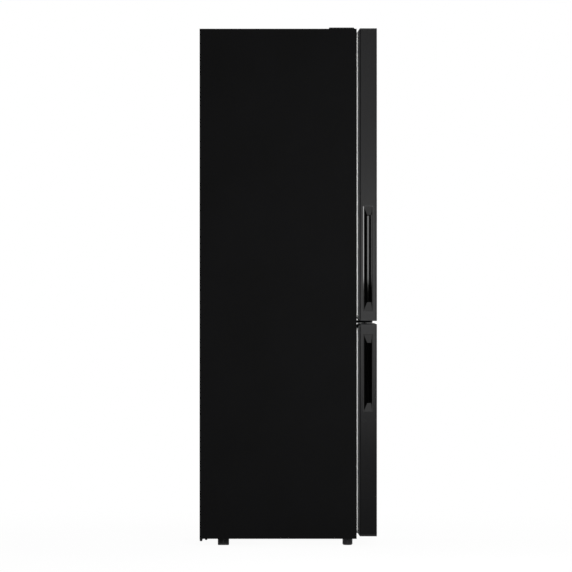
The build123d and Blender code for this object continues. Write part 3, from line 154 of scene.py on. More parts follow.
# Lamps: name, place, aim, width, height in metres and power in watts
LAMPS = (
    # The left side: a broad sheen low on the doors, a weaker one above it
    ("side_softbox", (-2.6, -0.35, 0.88), (-0.3, -0.35, 0.88), 0.8, 0.75, 24),
    ("upper_softbox", (-2.6, -0.35, 1.78), (-0.3, -0.35, 1.78), 0.8, 1.1, 11.5),
    # The bright lines on the front edge of the fridge door and on the ledge of its grip
    ("key_strip", (-2.0, -1.9, 1.605), (-0.3, -0.28, 1.605), 0.35, 1.32, 14.5),
    ("grip_strip", (-2.7, -0.325, 1.445), (-0.3, -0.325, 1.445), 0.15, 1.0, 2.1),
    # The sides that the photograph doesn't show
    ("front_softbox", (0.9, -3.4, 2.0), (0, 0, 0.9), 2.0, 2.0, 45),
    ("back_softbox", (1.5, 3.4, 2.2), (0, 0, 0.9), 2.0, 2.0, 45),
    ("right_softbox", (3.4, -0.5, 2.0), (0, 0, 0.9), 2.0, 2.0, 40),
)
# Sockets of the Mix node when it mixes colours
MIX_FACTOR, MIX_FIRST, MIX_SECOND, MIX_RESULT = 0, 6, 7, 2


def linear(code):
    """Linear colour of an sRGB hex code."""
    channels = [int(code[start:start + 2], 16) / 255 for start in (1, 3, 5)]
    return [c / 12.92 if c <= 0.04045 else ((c + 0.055) / 1.055) ** 2.4 for c in channels] + [1.0]


def per_metre(size_mm):
    """Texture scale that repeats a pattern at a real size."""
    return 1 / (size_mm * MM)


def add(tree, kind, inputs=None, **settings):
    """Adds a node with its settings, and sets or links its inputs."""
    node = tree.nodes.new(kind)
    for name, value in settings.items():
        setattr(node, name, value)
    for name, value in (inputs or {}).items():
        if isinstance(value, bpy.types.NodeSocket):
            tree.links.new(value, node.inputs[name])
        else:
            node.inputs[name].default_value = value
    return node


# Materials


def new_finish(name, **surface):
    """Starts a finish: its material, tree, surface shader and the place on the piece."""
    material = bpy.data.materials.new(name)
    material.use_nodes = True
    tree = material.node_tree
    shader = tree.nodes["Principled BSDF"]
    for socket, value in surface.items():
        shader.inputs[socket.replace("_", " ")].default_value = value
    place = add(tree, "ShaderNodeTexCoord").outputs["Object"]
    return material, tree, shader, place


def lay(tree, shader, colour, roughness=None, relief=None):
    """Lets patterns drive a finish: its colour, its roughness and a relief that is so many mm deep."""
    pattern, first, second = colour
    blend = add(
        tree,
        "ShaderNodeMix",
        {MIX_FACTOR: pattern, MIX_FIRST: linear(first), MIX_SECOND: linear(second)},
        data_type="RGBA",
    )
    tree.links.new(blend.outputs[MIX_RESULT], shader.inputs["Base Color"])
    if roughness:
        pattern, low, high = roughness
        spread = add(tree, "ShaderNodeMapRange", {"Value": pattern, "To Min": low, "To Max": high})
        tree.links.new(spread.outputs["Result"], shader.inputs["Roughness"])
    if relief:
        pattern, depth, strength = relief
        bump = add(
            tree,
            "ShaderNodeBump",
            {"Height": pattern, "Distance": depth * MM, "Strength": strength},
        )
        tree.links.new(bump.outputs["Normal"], shader.inputs["Normal"])


def coated_cabinet_steel():
    """Steel sheet coated before folding, embossed with a fine leather grain: deep, flat black."""
    material, tree, shader, place = new_finish(
        "coated_embossed_steel_black", Specular_IOR_Level=0.0355
    )
    # The real grain is near 1 mm; it is drawn at 3 mm so that it shows
    grain = add(
        tree,
        "ShaderNodeTexVoronoi",
        {"Vector": place, "Scale": per_metre(3)},
        feature="SMOOTH_F1",
    )
    cloud = add(tree, "ShaderNodeTexNoise", {"Vector": place, "Scale": per_metre(180), "Detail": 3.0})
    lay(
        tree,
        shader,
        colour=(cloud.outputs["Fac"], "#0a0a0a", "#0e0e0f"),
        roughness=(grain.outputs["Distance"], 0.62, 0.78),
        relief=(grain.outputs["Distance"], 0.05, 0.6),
    )
    return material


def coated_door_steel():
    """Smooth satin coil coating: soft broad reflections over a faint orange peel."""
    material, tree, shader, place = new_finish("coated_satin_steel_black", Specular_IOR_Level=0.066)
    peel = add(tree, "ShaderNodeTexNoise", {"Vector": place, "Scale": per_metre(2.4), "Detail": 2.0})
    cloud = add(tree, "ShaderNodeTexNoise", {"Vector": place, "Scale": per_metre(140), "Detail": 3.0})
    lay(
        tree,
        shader,
        colour=(cloud.outputs["Fac"], "#0b0b0c", "#0f0f10"),
        roughness=(cloud.outputs["Fac"], 0.25, 0.29),
        relief=(peel.outputs["Fac"], 0.02, 0.5),
    )
    return material


def moulded_black_abs():
    """Injection-moulded black ABS with a spark-eroded grain: dark, with a dull gloss on edges."""
    material, tree, shader, place = new_finish("moulded_abs_black", Specular_IOR_Level=0.2)
    # The real grain is near 0.2 mm; it is drawn at 2 mm so that it shows
    grain = add(tree, "ShaderNodeTexNoise", {"Vector": place, "Scale": per_metre(2), "Detail": 4.0})
    flow = add(tree, "ShaderNodeTexNoise", {"Vector": place, "Scale": per_metre(60), "Detail": 2.0})
    lay(
        tree,
        shader,
        colour=(flow.outputs["Fac"], "#0e0e0f", "#141415"),
        roughness=(grain.outputs["Fac"], 0.4, 0.55),
        relief=(grain.outputs["Fac"], 0.02, 0.5),
    )
    return material


def polished_black_abs():
    """Black ABS from a polished mould: the grip pockets mirror the lamps as sharp bright lines."""
    material, tree, shader, place = new_finish("polished_abs_black", Specular_IOR_Level=0.42)
    flow = add(tree, "ShaderNodeTexNoise", {"Vector": place, "Scale": per_metre(40), "Detail": 2.0})
    haze = add(tree, "ShaderNodeTexNoise", {"Vector": place, "Scale": per_metre(5), "Detail": 3.0})
    lay(
        tree,
        shader,
        colour=(flow.outputs["Fac"], "#060606", "#0b0b0b"),
        roughness=(haze.outputs["Fac"], 0.04, 0.08),
    )
    return material


def blown_foam():
    """Polyurethane foam blown in place: cream, with closed cells that show where it is cut."""
    material, tree, shader, place = new_finish("blown_polyurethane_foam_cream", Specular_IOR_Level=0.2)
    # Real cells are near 0.4 mm; they are drawn at 2 mm so that they show
    cells = add(tree, "ShaderNodeTexVoronoi", {"Vector": place, "Scale": per_metre(2)})
    swirl = add(tree, "ShaderNodeTexNoise", {"Vector": place, "Scale": per_metre(45), "Detail": 4.0})
    lay(
        tree,
        shader,
        colour=(swirl.outputs["Fac"], "#d8c48c", "#e9dcb0"),
        roughness=(cells.outputs["Distance"], 0.8, 0.95),
        relief=(cells.outputs["Distance"], 0.4, 1.0),
    )
    return material


def formed_white_polystyrene():
    """Vacuum-formed white polystyrene: even gloss, with the slight waves of a drawn sheet."""
    material, tree, shader, place = new_finish("vacuum_formed_polystyrene_white", IOR=1.59)
    waves = add(tree, "ShaderNodeTexNoise", {"Vector": place, "Scale": per_metre(55), "Detail": 1.0})
    haze = add(tree, "ShaderNodeTexNoise", {"Vector": place, "Scale": per_metre(4), "Detail": 3.0})
    lay(
        tree,
        shader,
        colour=(waves.outputs["Fac"], "#e4e7e8", "#eceeee"),
        roughness=(haze.outputs["Fac"], 0.2, 0.32),
        relief=(waves.outputs["Fac"], 0.25, 0.5),
    )
    return material


def moulded_white_abs():
    """Injection-moulded white ABS with a fine satin grain."""
    material, tree, shader, place = new_finish("moulded_abs_white", Specular_IOR_Level=0.45)
    # The real grain is near 0.2 mm; it is drawn at 2 mm so that it shows
    grain = add(tree, "ShaderNodeTexNoise", {"Vector": place, "Scale": per_metre(2), "Detail": 3.0})
    flow = add(tree, "ShaderNodeTexNoise", {"Vector": place, "Scale": per_metre(70), "Detail": 2.0})
    lay(
        tree,
        shader,
        colour=(flow.outputs["Fac"], "#dfe2e3", "#e8eaea"),
        roughness=(grain.outputs["Fac"], 0.34, 0.48),
        relief=(grain.outputs["Fac"], 0.02, 0.5),
    )
    return material


def moulded_clear_polystyrene():
    """Clear moulded polystyrene, faintly blue, with the flow marks of the mould."""
    material, tree, shader, place = new_finish(
        "moulded_polystyrene_clear", IOR=1.59, Transmission_Weight=0.92
    )
    flow = add(tree, "ShaderNodeTexNoise", {"Vector": place, "Scale": per_metre(40), "Detail": 2.0})
    haze = add(tree, "ShaderNodeTexNoise", {"Vector": place, "Scale": per_metre(3), "Detail": 3.0})
    lay(
        tree,
        shader,
        colour=(flow.outputs["Fac"], "#ecf5f9", "#f6fafc"),
        roughness=(haze.outputs["Fac"], 0.05, 0.14),
        relief=(flow.outputs["Fac"], 0.1, 0.4),
    )
    return material


def opal_polycarbonate():
    """Opal lamp diffuser: milky, letting light through without a view of what is behind."""
    material, tree, shader, place = new_finish(
        "opal_polycarbonate", IOR=1.58, Transmission_Weight=0.45, Subsurface_Weight=0.2
    )
    milk = add(tree, "ShaderNodeTexNoise", {"Vector": place, "Scale": per_metre(12), "Detail": 2.0})
    lay(
        tree,
        shader,
        colour=(milk.outputs["Fac"], "#eef0ee", "#f6f6f2"),
        roughness=(milk.outputs["Fac"], 0.35, 0.5),
    )
    return material


def toughened_glass():
    """Toughened float glass: clear, with the green of its iron and faint roller waves."""
    material, tree, shader, place = new_finish(
        "toughened_float_glass", IOR=1.52, Transmission_Weight=1.0
    )
    waves = add(tree, "ShaderNodeTexNoise", {"Vector": place, "Scale": per_metre(90), "Detail": 1.0})
    film = add(tree, "ShaderNodeTexNoise", {"Vector": place, "Scale": per_metre(25), "Detail": 3.0})
    lay(
        tree,
        shader,
        colour=(waves.outputs["Fac"], "#d9efe6", "#e6f5ef"),
        roughness=(film.outputs["Fac"], 0.0, 0.05),
        relief=(waves.outputs["Fac"], 0.08, 0.3),
    )
    return material


def soft_white_pvc():
    """Extruded soft PVC door seal: off-white, matt, with a fine drawn skin."""
    material, tree, shader, place = new_finish("extruded_soft_pvc_white", Specular_IOR_Level=0.35)
    dust = add(tree, "ShaderNodeTexNoise", {"Vector": place, "Scale": per_metre(9), "Detail": 4.0})
    # The real skin is near 0.3 mm; it is drawn at 1.5 mm so that it shows
    skin = add(tree, "ShaderNodeTexNoise", {"Vector": place, "Scale": per_metre(1.5), "Detail": 2.0})
    lay(
        tree,
        shader,
        colour=(dust.outputs["Fac"], "#ececea", "#f2f2f0"),
        roughness=(skin.outputs["Fac"], 0.5, 0.65),
        relief=(skin.outputs["Fac"], 0.03, 0.5),
    )
    return material


def dipped_black_steel():
    """Pressed steel, dip painted black: thin satin paint over the press marks."""
    material, tree, shader, place = new_finish("dip_painted_steel_black", Specular_IOR_Level=0.2)
    press = add(tree, "ShaderNodeTexNoise", {"Vector": place, "Scale": per_metre(7), "Detail": 4.0})
    lay(
        tree,
        shader,
        colour=(press.outputs["Fac"], "#0c0c0d", "#141415"),
        roughness=(press.outputs["Fac"], 0.36, 0.5),
        relief=(press.outputs["Fac"], 0.05, 0.5),
    )
    return material


def zinc_plated_steel():
    """Bright zinc-plated steel with the yellow and blue cast of its passivation."""
    material, tree, shader, place = new_finish("zinc_plated_steel", Metallic=1.0)
    cast = add(tree, "ShaderNodeTexNoise", {"Vector": place, "Scale": per_metre(5), "Detail": 3.0})
    lay(
        tree,
        shader,
        colour=(cast.outputs["Fac"], "#a9adb0", "#bdb7a4"),
        roughness=(cast.outputs["Fac"], 0.25, 0.4),
    )
    return material


def galvanised_sheet():
    """Hot-dip galvanised sheet: grey zinc whose spangle catches the light flake by flake."""
    material, tree, shader, place = new_finish("hot_dip_galvanised_steel", Metallic=1.0)
    spangle = add(tree, "ShaderNodeTexVoronoi", {"Vector": place, "Scale": per_metre(14)})
    flake = add(tree, "ShaderNodeSeparateColor", {"Color": spangle.outputs["Color"]})
    lay(
        tree,
        shader,
        colour=(flake.outputs["Red"], "#8b8f92", "#a3a7a9"),
        roughness=(flake.outputs["Green"], 0.34, 0.52),
        relief=(spangle.outputs["Distance"], 0.03, 0.4),
    )
    return material


def compressor_enamel():
    """Stoved black enamel on the pressed compressor can: glossy, slightly run."""
    material, tree, shader, place = new_finish(
        "stoved_enamel_black", Coat_Weight=0.4, Coat_Roughness=0.08
    )
    runs = add(tree, "ShaderNodeTexNoise", {"Vector": place, "Scale": per_metre(30), "Detail": 2.0})
    lay(
        tree,
        shader,
        colour=(runs.outputs["Fac"], "#0f0f10", "#1b1b1c"),
        roughness=(runs.outputs["Fac"], 0.18, 0.3),
        relief=(runs.outputs["Fac"], 0.2, 0.4),
    )
    return material


def moulded_black_rubber():
    """Moulded black rubber with a dry, dusty surface."""
    material, tree, shader, place = new_finish("moulded_rubber_black", Specular_IOR_Level=0.3)
    bloom = add(tree, "ShaderNodeTexNoise", {"Vector": place, "Scale": per_metre(3), "Detail": 4.0})
    lay(
        tree,
        shader,
        colour=(bloom.outputs["Fac"], "#1a1a1a", "#2a2a2a"),
        roughness=(bloom.outputs["Fac"], 0.7, 0.9),
        relief=(bloom.outputs["Fac"], 0.05, 0.5),
    )
    return material


def drawn_copper():
    """Drawn copper tube: bright where handled, browned by air elsewhere."""
    material, tree, shader, place = new_finish("drawn_copper", Metallic=1.0)
    tarnish = add(tree, "ShaderNodeTexNoise", {"Vector": place, "Scale": per_metre(16), "Detail": 5.0})
    lay(
        tree,
        shader,
        colour=(tarnish.outputs["Fac"], "#b87448", "#8a4f30"),
        roughness=(tarnish.outputs["Fac"], 0.22, 0.45),
    )
    return material


def rolled_aluminium():
    """Rolled aluminium fin stock with a fine rolling streak."""
    material, tree, shader, place = new_finish("rolled_aluminium_fin", Metallic=1.0)
    stretch = add(tree, "ShaderNodeMapping", {"Vector": place, "Scale": (1.0, 1.0, 0.05)})
    # Real rolling streaks are near 0.1 mm; they are drawn at 1.5 mm so that they show
    streak = add(
        tree,
        "ShaderNodeTexNoise",
        {"Vector": stretch.outputs["Vector"], "Scale": per_metre(1.5), "Detail": 3.0},
    )
    lay(
        tree,
        shader,
        colour=(streak.outputs["Fac"], "#c3c6c8", "#d5d7d8"),
        roughness=(streak.outputs["Fac"], 0.28, 0.42),
    )
    return material


def bright_inlay():
    """Hot-foil bright strip on the shelf fronts, lightly brushed along its length."""
    material, tree, shader, place = new_finish("brushed_foil_silver", Metallic=1.0)
    stretch = add(tree, "ShaderNodeMapping", {"Vector": place, "Scale": (0.02, 1.0, 1.0)})
    # Real brush lines are near 0.05 mm; they are drawn at 0.6 mm so that they show
    brush = add(
        tree,
        "ShaderNodeTexNoise",
        {"Vector": stretch.outputs["Vector"], "Scale": per_metre(0.6), "Detail": 2.0},
    )
    lay(
        tree,
        shader,
        colour=(brush.outputs["Fac"], "#b4b7ba", "#cdd0d2"),
        roughness=(brush.outputs["Fac"], 0.22, 0.36),
    )
    return material


def printed_grey():
    """Grey pad-printed ink of the scale marks, slightly uneven."""
    material, tree, shader, place = new_finish("pad_printed_ink_grey", Specular_IOR_Level=0.3)
    ink = add(tree, "ShaderNodeTexNoise", {"Vector": place, "Scale": per_metre(1), "Detail": 3.0})
    lay(
        tree,
        shader,
        colour=(ink.outputs["Fac"], "#55595c", "#6a6e70"),
        roughness=(ink.outputs["Fac"], 0.5, 0.65),
    )
    return material


FINISHES = {
    "shell_steel": coated_cabinet_steel(),
    "door_steel": coated_door_steel(),
    "black_moulding": moulded_black_abs(),
    "foam": blown_foam(),
    "white_liner": formed_white_polystyrene(),
    "white_moulding": moulded_white_abs(),
    "clear_moulding": moulded_clear_polystyrene(),
    "lamp_diffuser": opal_polycarbonate(),
    "shelf_glass": toughened_glass(),
    "seal_rubber": soft_white_pvc(),
    "hinge_steel": dipped_black_steel(),
    "plated_steel": zinc_plated_steel(),
    "galvanised_steel": galvanised_sheet(),
    "compressor_paint": compressor_enamel(),
    "mount_rubber": moulded_black_rubber(),
    "copper": drawn_copper(),
    "coil_aluminium": rolled_aluminium(),
}

for subpart in frame["record"]["subparts"]:
    mesh = frame["nodes"][subpart["node"]].data
    mesh.materials.clear()
    mesh.materials.append(FINISHES[subpart["material_slot"]])
pocket_finish = polished_black_abs()
for door in DOORS:
    frame["nodes"][door + "_grip"].data.materials[0] = pocket_finish


# Pieces made with geometry nodes


def new_tree(name, sizes):
    """Empty geometry tree with named inputs for its sizes, and its input and output nodes."""
    tree = bpy.data.node_groups.new(name, "GeometryNodeTree")
    tree.interface.new_socket(name="Geometry", in_out="OUTPUT", socket_type="NodeSocketGeometry")
    tree.interface.new_socket(name="Places", in_out="INPUT", socket_type="NodeSocketGeometry")
    for label, kind in sizes.items():
        tree.interface.new_socket(name=label, in_out="INPUT", socket_type=f"NodeSocket{kind}")
    return tree, tree.nodes.new("NodeGroupInput").outputs, tree.nodes.new("NodeGroupOutput")


def close_tree(tree, geometry, material, output):
    """Ends a tree: instances made real, material set."""
    real = add(tree, "GeometryNodeRealizeInstances", {"Geometry": geometry})
    dressed = add(tree, "GeometryNodeSetMaterial", {"Geometry": real.outputs[0], "Material": material})
    tree.links.new(dressed.outputs[0], output.inputs["Geometry"])
    return tree


def grow(name, tree, sizes, body, places=()):
    """Runs a tree with its sizes and keeps the result as a plain mesh that rides on a body."""
    points = bpy.data.meshes.new(name + "_places")
    points.from_pydata(list(places), [], [])
    seed = bpy.data.objects.new(name + "_seed", points)
    bpy.context.collection.objects.link(seed)
    modifier = seed.modifiers.new("shape", "NODES")
    modifier.node_group = tree
    for item in tree.interface.items_tree:
        if item.in_out == "INPUT" and item.name in sizes:
            modifier[item.identifier] = sizes[item.name]
    shaped = seed.evaluated_get(bpy.context.evaluated_depsgraph_get())
    mesh = bpy.data.meshes.new_from_object(shaped)
    mesh.name = name
    bpy.data.objects.remove(seed)
    piece = bpy.data.objects.new(name, mesh)
    bpy.context.collection.objects.link(piece)
    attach(piece, body)
    return piece


def rounded_rectangle(tree, width, height, corner, points):
    """Closed path along a rectangle with rounded corners."""
    path = add(tree, "GeometryNodeCurvePrimitiveQuadrilateral", {"Width": width, "Height": height})
    rounded = add(
        tree,
        "GeometryNodeFilletCurve",
        {"Curve": path.outputs[0], "Radius": corner, "Count": points},
        mode="POLY",
    )
    return rounded.outputs[0]


def round_bar(tree, path, radius, capped=False):
    """Round bar along a path."""
    ring = add(
        tree, "GeometryNodeCurvePrimitiveCircle", {"Resolution": ROUND_SIDES, "Radius": radius}
    )
    bar = add(
        tree,
        "GeometryNodeCurveToMesh",
        {"Curve": path, "Profile Curve": ring.outputs[0], "Fill Caps": capped},
    )
    return bar.outputs[0]


def row_of_bars(material):
    """Equal bars side by side: the first one's centre, the step to the next, their size and turn."""
    tree, given, output = new_tree(
        "bars_" + material.name,
        {"Count": "Int", "First": "Vector", "Step": "Vector", "Size": "Vector", "Turn": "Vector"},
    )
    line = add(
        tree,
        "GeometryNodeMeshLine",
        {"Count": given["Count"], "Start Location": given["First"], "Offset": given["Step"]},
        mode="OFFSET",
    )
    bar = add(tree, "GeometryNodeMeshCube", {"Size": given["Size"]})
    placed = add(
        tree,
        "GeometryNodeInstanceOnPoints",
        {"Points": line.outputs[0], "Instance": bar.outputs["Mesh"], "Rotation": given["Turn"]},
    )
    return close_tree(tree, placed.outputs[0], material, output)


def rim_bead(material):
    """Round bead along a level rectangle with rounded corners."""
    tree, given, output = new_tree(
        "rim_" + material.name,
        {"Width": "Float", "Length": "Float", "Corner": "Float", "Radius": "Float", "Centre": "Vector"},
    )
    path = rounded_rectangle(
        tree, given["Width"], given["Length"], given["Corner"], RIM_CORNER_POINTS
    )
    bead = round_bar(tree, path, given["Radius"])
    placed = add(tree, "GeometryNodeTransform", {"Geometry": bead, "Translation": given["Centre"]})
    return close_tree(tree, placed.outputs[0], material, output)


def door_seal(material, profile):
    """Bellows profile swept round an upright rectangle, its back on the door."""
    tree, given, output = new_tree(
        "seal_" + material.name,
        {"Width": "Float", "Height": "Float", "Corner": "Float", "Centre": "Vector", "Turn": "Vector"},
    )
    path = rounded_rectangle(
        tree, given["Width"], given["Height"], given["Corner"], SEAL_CORNER_POINTS
    )
    level = add(tree, "GeometryNodeSetCurveNormal", {"Curve": path}, mode="Z_UP")
    section = add(tree, "GeometryNodeObjectInfo", {"Object": profile})
    swept = add(
        tree,
        "GeometryNodeCurveToMesh",
        {"Curve": level.outputs[0], "Profile Curve": section.outputs["Geometry"]},
    )
    placed = add(
        tree,
        "GeometryNodeTransform",
        {"Geometry": swept.outputs[0], "Translation": given["Centre"], "Rotation": given["Turn"]},
    )
    return close_tree(tree, placed.outputs[0], material, output)


def knob_flutes(material):
    """Ridges round a knob whose axis runs front to back."""
    tree, given, output = new_tree(
        "flutes_" + material.name,
        {"Count": "Int", "Radius": "Float", "Size": "Vector", "Centre": "Vector", "Turn": "Vector"},
    )
    ring = add(tree, "GeometryNodeMeshCircle", {"Vertices": given["Count"], "Radius": given["Radius"]})
    place = add(tree, "GeometryNodeInputPosition")
    outward = add(tree, "FunctionNodeAlignRotationToVector", {"Vector": place.outputs[0]}, axis="X")
    ridge = add(tree, "GeometryNodeMeshCube", {"Size": given["Size"]})
    placed = add(
        tree,
        "GeometryNodeInstanceOnPoints",
        {"Points": ring.outputs[0], "Instance": ridge.outputs["Mesh"], "Rotation": outward.outputs[0]},
    )
    turned = add(
        tree,
        "GeometryNodeTransform",
        {"Geometry": placed.outputs[0], "Translation": given["Centre"], "Rotation": given["Turn"]},
    )
    return close_tree(tree, turned.outputs[0], material, output)


def scale_marks(material):
    """Dots on an arc round a knob, each larger than the one before."""
    tree, given, output = new_tree(
        "marks_" + material.name,
        {"Count": "Int", "Ring": "Float", "Radius": "Float", "Height": "Float", "Growth": "Float",
         "Start": "Float", "Sweep": "Float", "Centre": "Vector", "Turn": "Vector"},
    )
    arc = add(
        tree,
        "GeometryNodeCurveArc",
        {"Resolution": given["Count"], "Radius": given["Ring"], "Start Angle": given["Start"],
         "Sweep Angle": given["Sweep"]},
    )
    dot = add(
        tree,
        "GeometryNodeMeshCylinder",
        {"Vertices": ROUND_SIDES, "Radius": given["Radius"], "Depth": given["Height"]},
    )
    order = add(tree, "GeometryNodeInputIndex")
    growth = add(
        tree,
        "ShaderNodeMath",
        {0: order.outputs[0], 1: given["Growth"], 2: 1.0},
        operation="MULTIPLY_ADD",
    )
    size = add(tree, "ShaderNodeCombineXYZ", {"X": growth.outputs[0], "Y": growth.outputs[0], "Z": 1.0})
    placed = add(
        tree,
        "GeometryNodeInstanceOnPoints",
        {"Points": arc.outputs[0], "Instance": dot.outputs["Mesh"], "Scale": size.outputs[0]},
    )
    turned = add(
        tree,
        "GeometryNodeTransform",
        {"Geometry": placed.outputs[0], "Translation": given["Centre"], "Rotation": given["Turn"]},
    )
    return close_tree(tree, turned.outputs[0], material, output)


def weld_bead(material):
    """Round weld along the oval joint of the compressor can."""
    tree, given, output = new_tree(
        "weld_" + material.name, {"Oval": "Vector", "Radius": "Float", "Centre": "Vector"}
    )
    circle = add(
        tree, "GeometryNodeCurvePrimitiveCircle", {"Resolution": WELD_POINTS, "Radius": 1.0}
    )
    oval = add(
        tree,
        "GeometryNodeTransform",
        {"Geometry": circle.outputs[0], "Scale": given["Oval"], "Translation": given["Centre"]},
    )
    bead = round_bar(tree, oval.outputs[0], given["Radius"])
    return close_tree(tree, bead, material, output)


def screw_heads(material, head):
    """Screw heads on the given places, all facing the same way."""
    tree, given, output = new_tree("screws_" + material.name, {"Turn": "Vector"})
    shape = add(tree, "GeometryNodeObjectInfo", {"Object": head})
    placed = add(
        tree,
        "GeometryNodeInstanceOnPoints",
        {"Points": given["Places"], "Instance": shape.outputs["Geometry"], "Rotation": given["Turn"]},
    )
    return close_tree(tree, placed.outputs[0], material, output)


def pressed_beads(material):
    """Long flat beads pressed into a sheet, tapering at both ends, one at each place."""
    tree, given, output = new_tree(
        "beads_" + material.name, {"Length": "Float", "Radius": "Float", "Flatten": "Vector"}
    )
    half = add(tree, "ShaderNodeMath", {0: given["Length"], 1: 0.5}, operation="MULTIPLY")
    minus = add(tree, "ShaderNodeMath", {0: given["Length"], 1: -0.5}, operation="MULTIPLY")
    left = add(tree, "ShaderNodeCombineXYZ", {"X": minus.outputs[0]})
    right = add(tree, "ShaderNodeCombineXYZ", {"X": half.outputs[0]})
    line = add(
        tree, "GeometryNodeCurvePrimitiveLine", {"Start": left.outputs[0], "End": right.outputs[0]}
    )
    steps = add(tree, "GeometryNodeResampleCurve", {"Curve": line.outputs[0], "Count": BEAD_POINTS})
    along = add(tree, "GeometryNodeSplineParameter")
    centred = add(
        tree, "ShaderNodeMath", {0: along.outputs["Factor"], 1: 2.0, 2: -1.0}, operation="MULTIPLY_ADD"
    )
    edge = add(tree, "ShaderNodeMath", {0: centred.outputs[0]}, operation="ABSOLUTE")
    steep = add(tree, "ShaderNodeMath", {0: edge.outputs[0], 1: BEAD_TAPER}, operation="POWER")
    taper = add(tree, "ShaderNodeMath", {0: 1.0, 1: steep.outputs[0]}, operation="SUBTRACT")
    shaped = add(
        tree, "GeometryNodeSetCurveRadius", {"Curve": steps.outputs[0], "Radius": taper.outputs[0]}
    )
    bead = round_bar(tree, shaped.outputs[0], given["Radius"], capped=True)
    placed = add(
        tree,
        "GeometryNodeInstanceOnPoints",
        {"Points": given["Places"], "Instance": bead, "Scale": given["Flatten"]},
    )
    return close_tree(tree, placed.outputs[0], material, output)


def outline_curve(name, points):
    """Closed outline that a tree can read as a profile."""
    curve = bpy.data.curves.new(name, "CURVE")
    spline = curve.splines.new("POLY")
    spline.points.add(len(points) - 1)
    for point, (across, up) in zip(spline.points, points):
        point.co = (across, up, 0, 1)
    spline.use_cyclic_u = True
    return bpy.data.objects.new(name, curve)


def star_screw_head():
    """Low round screw head with a six-lobed recess, standing on the XY plane."""
    vertices, faces = [], []
    for even, odd, height in SCREW_LOOPS:
        for side in range(SCREW_SIDES):
            radius = SCREW_RADIUS * (odd if side % 2 else even)
            angle = 2 * math.pi * side / SCREW_SIDES
            vertices.append((radius * math.cos(angle), radius * math.sin(angle), height * SCREW_HEIGHT))
    for ring in range(len(SCREW_LOOPS) - 1):
        for side in range(SCREW_SIDES):
            after = (side + 1) % SCREW_SIDES
            low, high = ring * SCREW_SIDES, (ring + 1) * SCREW_SIDES
            faces.append((low + side, low + after, high + after, high + side))
    faces.append(tuple(range(len(vertices) - SCREW_SIDES, len(vertices))))
    faces.append(tuple(reversed(range(SCREW_SIDES))))
    mesh = bpy.data.meshes.new("star_screw_head")
    mesh.from_pydata(vertices, [], faces)
    return bpy.data.objects.new("star_screw_head", mesh)


# Drawers and bins: rolled rims and floor ribs

CLEAR = FINISHES["clear_moulding"]
clear_rim = rim_bead(CLEAR)
clear_bars = row_of_bars(CLEAR)
TUB_BODIES = {
    "crisper_drawer": "crisper",
    "lower_freezer_drawer": "lower_drawer",
    "middle_freezer_drawer": "middle_drawer",
    "upper_freezer_drawer": "upper_drawer",
    "bottle_bin": "fridge_door",
    "middle_bin": "fridge_door",
    "top_bin": "fridge_door",
}
for tub, body in TUB_BODIES.items():
    low, high = (Vector(corner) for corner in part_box(tub))
    middle = (low + high) / 2
    size = high - low
    rim = {
        "Width": size.x - TUB_WALL,
        "Length": size.y - TUB_WALL,
        "Corner": RIM_CORNER,
        "Radius": RIM_RADIUS,
        "Centre": (middle.x, middle.y, high.z),
    }
    grow(tub + "_rim", clear_rim, rim, body)
    front_wall = TUB_FRONT_WALL if "drawer" in tub else TUB_WALL
    rib_count = int((size.x - 2 * FLOOR_RIB_MARGIN) / FLOOR_RIB_PITCH) + 1
    ribs = {
        "Count": rib_count,
        "First": (
            middle.x - (rib_count - 1) / 2 * FLOOR_RIB_PITCH,
            middle.y + (front_wall - TUB_WALL) / 2,
            low.z + TUB_WALL + FLOOR_RIB_HEIGHT / 2,
        ),
        "Step": (FLOOR_RIB_PITCH, 0, 0),
        "Size": (FLOOR_RIB_WIDTH, size.y - front_wall - TUB_WALL - FLOOR_RIB_MARGIN, FLOOR_RIB_HEIGHT),
    }
    grow(tub + "_floor_ribs", clear_bars, ribs, body)

# Lamp lens prisms and the bright strips on the shelf fronts

low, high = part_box("lamp_lens")
prism_count = int((high[0] - low[0] - 2 * PRISM_MARGIN) / PRISM_PITCH) + 1
prisms = {
    "Count": prism_count,
    "First": (
        (low[0] + high[0] - (prism_count - 1) * PRISM_PITCH) / 2,
        (low[1] + high[1]) / 2,
        low[2] - PRISM_HEIGHT / 2,
    ),
    "Step": (PRISM_PITCH, 0, 0),
    "Size": (PRISM_PITCH / 2, high[1] - low[1] - 2 * PRISM_MARGIN, PRISM_HEIGHT),
}
grow("lens_prisms", row_of_bars(FINISHES["lamp_diffuser"]), prisms, "cabinet")

low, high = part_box("shelf_trims")
shelves = [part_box(name) for name in ("bottom_shelf", "middle_shelf", "top_shelf")]
inlays = {
    "Count": len(shelves),
    "First": (0, low[1], (shelves[0][0][2] + shelves[0][1][2]) / 2),
    "Step": (0, 0, shelves[1][0][2] - shelves[0][0][2]),
    "Size": (high[0] - low[0] - 2 * INLAY_MARGIN, 2 * INLAY_PROUD, INLAY_HEIGHT),
}
grow("shelf_front_strips", row_of_bars(bright_inlay()), inlays, "cabinet")

# Control knob and its scale

